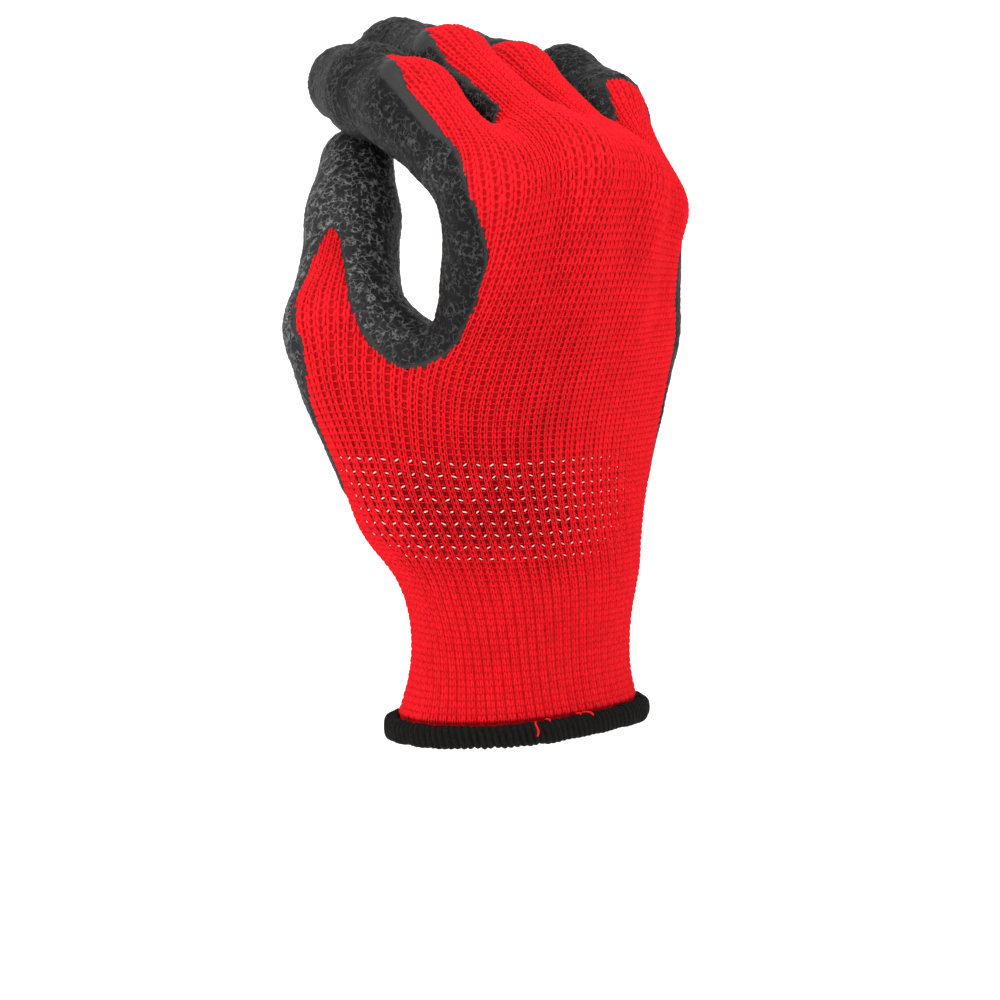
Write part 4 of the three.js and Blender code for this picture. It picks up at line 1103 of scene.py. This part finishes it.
class GLOVE_OT_elastic(bpy.types.Operator):
    """Lay the rubber thread that crosses the grooves of the upper cuff, every second course and slanting by turns"""

    bl_idname = "glove.elastic"
    bl_label = "Elastic thread"

    def execute(self, context):
        net, cells, where = glove_net()
        z = cell_heights(net, cells)
        pick = (where[:, 0] == 0) & (z > ELASTIC_LOW) & (z < ELASTIC_HIGH) & exposed(net, cells)
        pick &= (where[:, 2] % 2 == 0) & (where[:, 1] % 2 == 0)
        cells, where, z = cells[pick], where[pick], z[pick]
        count, stations, sides = len(cells), 3, 5
        rng = np.random.default_rng(5)
        slant = (np.where(where[:, 2] % 4 == 0, 1.0, -1.0) * rng.uniform(0.3, 1.2, count))[:, None]
        length = rng.uniform(0.24, 0.36, count)[:, None]
        # sunk out of sight where the cloth is slack, and toward the lowest course
        sunk = (0.40 * (1 - net.stretch[cells].mean(1)) + 0.25 * np.clip((50 - z) / 6, 0, 1))[:, None]
        angles = 2 * math.pi * np.arange(sides) / sides
        along = np.array((-1.0, 0, 1.0))[:, None] + np.zeros(sides)
        radius = np.array((0.75, 1.0, 0.75))[:, None]
        u = 1 + length * along.ravel()
        v = 0.8 + slant * 0.16 * along.ravel() + (0.14 * radius * np.cos(angles)).ravel()
        w = -0.30 - sunk + (0.2 * radius * np.sin(angles) - 0.08 * np.abs(along)).ravel()
        material = rubber_thread("latex_rubber_thread", tuple(context.scene.glove_knit.elastic))
        placed = place_template(net, cells, u, v, w)
        faces = strand_faces(count, stations, sides)
        make_mesh("elastic_thread", placed, faces, material, "knit_liner", "knit")
        return {"FINISHED"}


class GLOVE_OT_latex(bpy.types.Operator):
    """Dip the palm, thumb and fingertips: a coat that thins to a film at its edge and sinks into the knit there"""

    bl_idname = "glove.latex"
    bl_label = "Latex coating"

    def execute(self, context):
        latex = context.scene.glove_latex
        net, cells, where = glove_net()
        material = crinkled_latex("crinkled_latex", latex)
        wet = net.coat[cells].max(1) > -FILM_REACH
        tube = where[:, 0]
        for name, group in (("latex_palm", tube < 2), ("latex_fingers", tube > 2), ("latex_thumb", tube == 2)):
            self.dip(name, net, cells[wet & group], latex.crinkle / MM, material)
        return {"FINISHED"}

    def dip(self, name, net, cells, crinkle, material):
        """Splits the cells finely, joins their points, and lifts each by the coat's thickness and the crinkles."""
        across, up = 4, 3
        v, u = (places.ravel() for places in np.indices((up + 1, across + 1)))
        shares = np.broadcast_to(mixing(u / across, v / up), (len(cells), len(u), 4))
        flat = mixed(shares, net.points[cells]).reshape(-1, 3)
        normal = unit(mixed(shares, net.normals[cells])).reshape(-1, 3)
        coat = np.einsum("mtk,mk->mt", shares, net.coat[cells]).ravel()
        corners = (grid_faces(up + 1, across + 1) + np.arange(len(cells))[:, None, None] * len(u)).reshape(-1, 4)
        corners = corners[coat[corners].min(1) > -FILM_REACH]
        used, corners = np.unique(corners, return_inverse=True)
        flat, normal, coat = flat[used], normal[used], coat[used]
        # points within 0.002 mm of each other are one
        keys = np.round(flat * 500).astype(np.int64)
        _, first, number = np.unique(keys, axis=0, return_index=True, return_inverse=True)
        flat, normal, coat = flat[first], normal[first], coat[first]
        edge = coat + 0.35 * noise(flat / 2.5, 8)
        height = np.interp(edge, FILM_DEPTHS, FILM_HEIGHTS)
        # the crinkles start at the edge, and further in where the film is broad, which changes over about 10 mm
        rough = np.clip((edge + 0.2 - 4.0 * np.clip(noise(flat / 10, 12) - 0.05, 0, 1)) / 0.8, 0, 1)
        worms = rough * crinkle * (wrinkles(flat, CRINKLE_PITCH) - 0.35)
        points = flat + normal * (height + worms + 0.15 * rough * noise(flat / 5, 9))[:, None]
        # painted light: paler from the thumb's root on, fading out over 30 mm down the palm and 25 mm towards the
        # fingers
        worn = np.clip((flat - THUMB_ROOT) @ THUMB_LINE / 30 + 1, 0, 1)
        worn *= np.clip((flat[:, 1] - flat[:, 0] - 15) / 25, 0, 1) * (name != "latex_fingers")
        faces = split_faces(number.reshape(-1)[corners.reshape(-1, 4)])
        make_mesh(name, points, faces, material, "latex_coating", "latex", shade=rough * 0.6, worn=worn)


class GLOVE_OT_hem(bpy.types.Operator):
    """Sew the overlocked hem: a rolled tube of side-by-side thread ridges that has caught ends of the liner's yarn"""

    bl_idname = "glove.hem"
    bl_label = "Overlock hem"

    def execute(self, context):
        hem = context.scene.glove_hem
        section = SECTIONS[0].copy()
        section[2] = HEM_HEIGHT / 2
        outline = Outline(section, TOGETHER)
        count = HEM_STITCHES * HEM_STEPS
        core = outline.at_shares(outline.share_at(95) + np.arange(count) / count)
        up = outline.axes[2]
        out = face_normals(core, TOGETHER)
        out = unit(out - up * (out @ up)[:, None])
        # its section is a rounded box: a circle whose cosine and sine are raised to the power 0.75
        angle = 2 * math.pi * np.arange(HEM_SIDES) / HEM_SIDES
        across, high = (np.sign(wave) * np.abs(wave) ** 0.75 for wave in (np.cos(angle), np.sin(angle)))
        # each stitch bulges between its neighbours and leans a little along the edge
        place = np.arange(count) / HEM_STEPS
        wobble = noise(np.stack([place * 0.7, np.zeros(count), np.zeros(count)], 1), 5)[:, None]
        crest = np.abs(np.sin(math.pi * (place[:, None] + 0.35 * high[None]))) ** 0.6
        bulge = hem.ridge / MM * (crest - 0.75 + 0.3 * wobble)
        wide = HEM_THICKNESS / 2 - 0.35 + bulge
        tall = HEM_HEIGHT / 2 - 0.25 + bulge * 0.7
        # the edge waves a little, over about 9 mm
        ring = core + out * HEM_ROLL + up * (0.45 * noise(core / 9, 17))[:, None]
        points = ring[:, None] + out[:, None] * (wide * across)[..., None] + up * (tall * high)[..., None]
        faces = grid_faces(count, HEM_SIDES, True, True)[:, (0, 3, 2, 1)]
        material = overlock_thread("polyester_overlock_thread", tuple(hem.thread))
        # painted highlights on the stitches' crests and painted shade in the seams between them
        shade = 0.55 + 0.6 * crest
        make_mesh("hem_overlock_stitching", points, [faces], material, "hem_overlock", "hem_thread", shade=shade)
        self.yarn_ends(tuple(context.scene.glove_knit.yarn), core - outline.centre, ring, out, up)
        return {"FINISHED"}

    def yarn_ends(self, colour, spokes, ring, out, up):
        """Lays the caught ends of yarn: thin tubes over the hem's face, along an ellipse round it, swaying sideways."""
        stations, sides, radius, clear = 8, 6, 0.26, 0.2
        around = np.degrees(np.arctan2(spokes[:, 1], spokes[:, 0]))
        share = np.linspace(0, 1, stations)
        turn = 2 * math.pi * np.arange(sides) / sides
        points = []
        for place, start, end, lean in YARN_ENDS:
            at = np.abs(around - place).argmin()
            angle = np.radians(start + (end - start) * share)[:, None]
            outward = out[at] * np.cos(angle) + up * np.sin(angle)
            sideways = np.cross(out[at], up)
            middle = ring[at] + out[at] * (HEM_THICKNESS / 2 + clear) * np.cos(angle)
            middle = middle + up * (HEM_HEIGHT / 2 + clear) * np.sin(angle)
            middle = middle + sideways * (lean * share + 0.25 * np.sin(2 * math.pi * share))[:, None]
            tube = outward[:, None] * np.cos(turn)[:, None] + sideways * np.sin(turn)[:, None]
            points.append(middle[:, None] + radius * tube)
        faces = strand_faces(len(points), stations, sides)
        material = acrylic_yarn("acrylic_yarn_ends", colour)
        make_mesh("hem_yarn_ends", np.concatenate(points), faces, material, "knit_liner", "knit")


class GLOVE_OT_stage(bpy.types.Operator):
    """Set up the pale studio: floor and backdrop, soft lights and the camera"""

    bl_idname = "glove.stage"
    bl_label = "Studio"

    def execute(self, context):
        stage = context.scene.glove_stage
        self.backdrop(tuple(stage.paper))
        world = bpy.data.worlds.new("studio_air")
        context.scene.world = world
        world.use_nodes = True
        set_inputs(world.node_tree.nodes["Background"], Color=(1, 1, 1, 1), Strength=0.4)
        # colours come out as the settings state them
        context.scene.view_settings.view_transform = "Standard"
        # turn, rise, distance, size and power
        for name, turn, rise, distance, size, power in (
            ("key", -80, 40, 0.9, 0.5, 3.3),
            ("fill", 10, 20, 1.0, 0.8, 1.0),
            ("top", -40, 80, 0.9, 0.7, 5.0),
        ):
            light = bpy.data.lights.new(name, "AREA")
            light.size = size
            light.energy = power
            self.aim(name, light, turn, rise, distance)
        view = bpy.data.cameras.new("camera")
        # the target is 3.6 frame widths away
        view.sensor_width = 36
        view.lens = 3.6 * view.sensor_width
        view.clip_start, view.clip_end = 0.05, 20
        context.scene.camera = self.aim("camera", view, -40, 6, stage.distance)
        return {"FINISHED"}

    def aim(self, name, data, turn, rise, distance):
        """Puts a light or camera at a distance round the middle of the view and turns it to look there."""
        target = Vector(VIEW_MIDDLE) * MM
        a, e = math.radians(turn), math.radians(rise)
        back = Vector((math.sin(a) * math.cos(e), -math.cos(a) * math.cos(e), math.sin(e)))
        thing = bpy.data.objects.new(name, data)
        bpy.context.scene.collection.objects.link(thing)
        thing.location = target + back * distance
        thing.rotation_euler = (-back).to_track_quat("-Z", "Y").to_euler()
        return thing

    def backdrop(self, colour):
        """A round floor that curves up into a wall: flat, a quarter circle, then upright, turned all the way round."""
        flat, radius, floor, top, turns = 3.0, 1.5, -0.085, 3.5, 96
        bend = np.linspace(0, math.pi / 2, 24)
        away = np.concatenate([[0.02], flat + radius * np.sin(bend), [flat + radius]])
        height = np.concatenate([[floor], floor + radius * (1 - np.cos(bend)), [top]])
        turn = 2 * math.pi * np.arange(turns) / turns
        spokes = np.stack([np.cos(turn), np.sin(turn), np.ones(turns)], -1)
        points = spokes * np.stack([away, away, height], -1)[:, None]
        faces = grid_faces(len(away), turns, close_columns=True)[:, (0, 3, 2, 1)].tolist() + [list(range(turns))]
        mesh = bpy.data.meshes.new("studio_paper")
        mesh.from_pydata(points.reshape(-1, 3).tolist(), [], faces)
        mesh.polygons.foreach_set("use_smooth", np.ones(len(faces), bool))
        mesh.materials.append(studio_paper("studio_paper", colour))
        sheet = bpy.data.objects.new("studio_paper", mesh)
        bpy.context.scene.collection.objects.link(sheet)


class GLOVE_PT_panel(bpy.types.Panel):
    """Lists the glove's pieces and settings"""

    bl_label = "Thermal work glove"
    bl_space_type = "VIEW_3D"
    bl_region_type = "UI"
    bl_category = "Glove"

    def draw(self, context):
        for group, (_, operators) in GROUPS.items():
            box = self.layout.box()
            settings = getattr(context.scene, group)
            for key in settings.__annotations__:
                box.prop(settings, key)
            for operator in operators:
                box.operator(operator.bl_idname)


GROUPS = {
    "glove_knit": (KnitSettings, (GLOVE_OT_ground, GLOVE_OT_stitches, GLOVE_OT_elastic)),
    "glove_latex": (LatexSettings, (GLOVE_OT_latex,)),
    "glove_hem": (HemSettings, (GLOVE_OT_hem,)),
    "glove_stage": (StageSettings, (GLOVE_OT_stage,)),
}
CLASSES = [cls for settings, operators in GROUPS.values() for cls in (settings, *operators)] + [GLOVE_PT_panel]


def register():
    for cls in CLASSES:
        bpy.utils.register_class(cls)
    for name, (settings, _) in GROUPS.items():
        setattr(bpy.types.Scene, name, PointerProperty(type=settings))


def unregister():
    for name in GROUPS:
        delattr(bpy.types.Scene, name)
    for cls in reversed(CLASSES):
        bpy.utils.unregister_class(cls)


def main():
    """Builds every piece and the studio."""
    register()
    bpy.ops.glove.ground()
    bpy.ops.glove.stitches()
    bpy.ops.glove.elastic()
    bpy.ops.glove.latex()
    bpy.ops.glove.hem()
    bpy.ops.glove.stage()


if __name__ == "__main__":
    main()
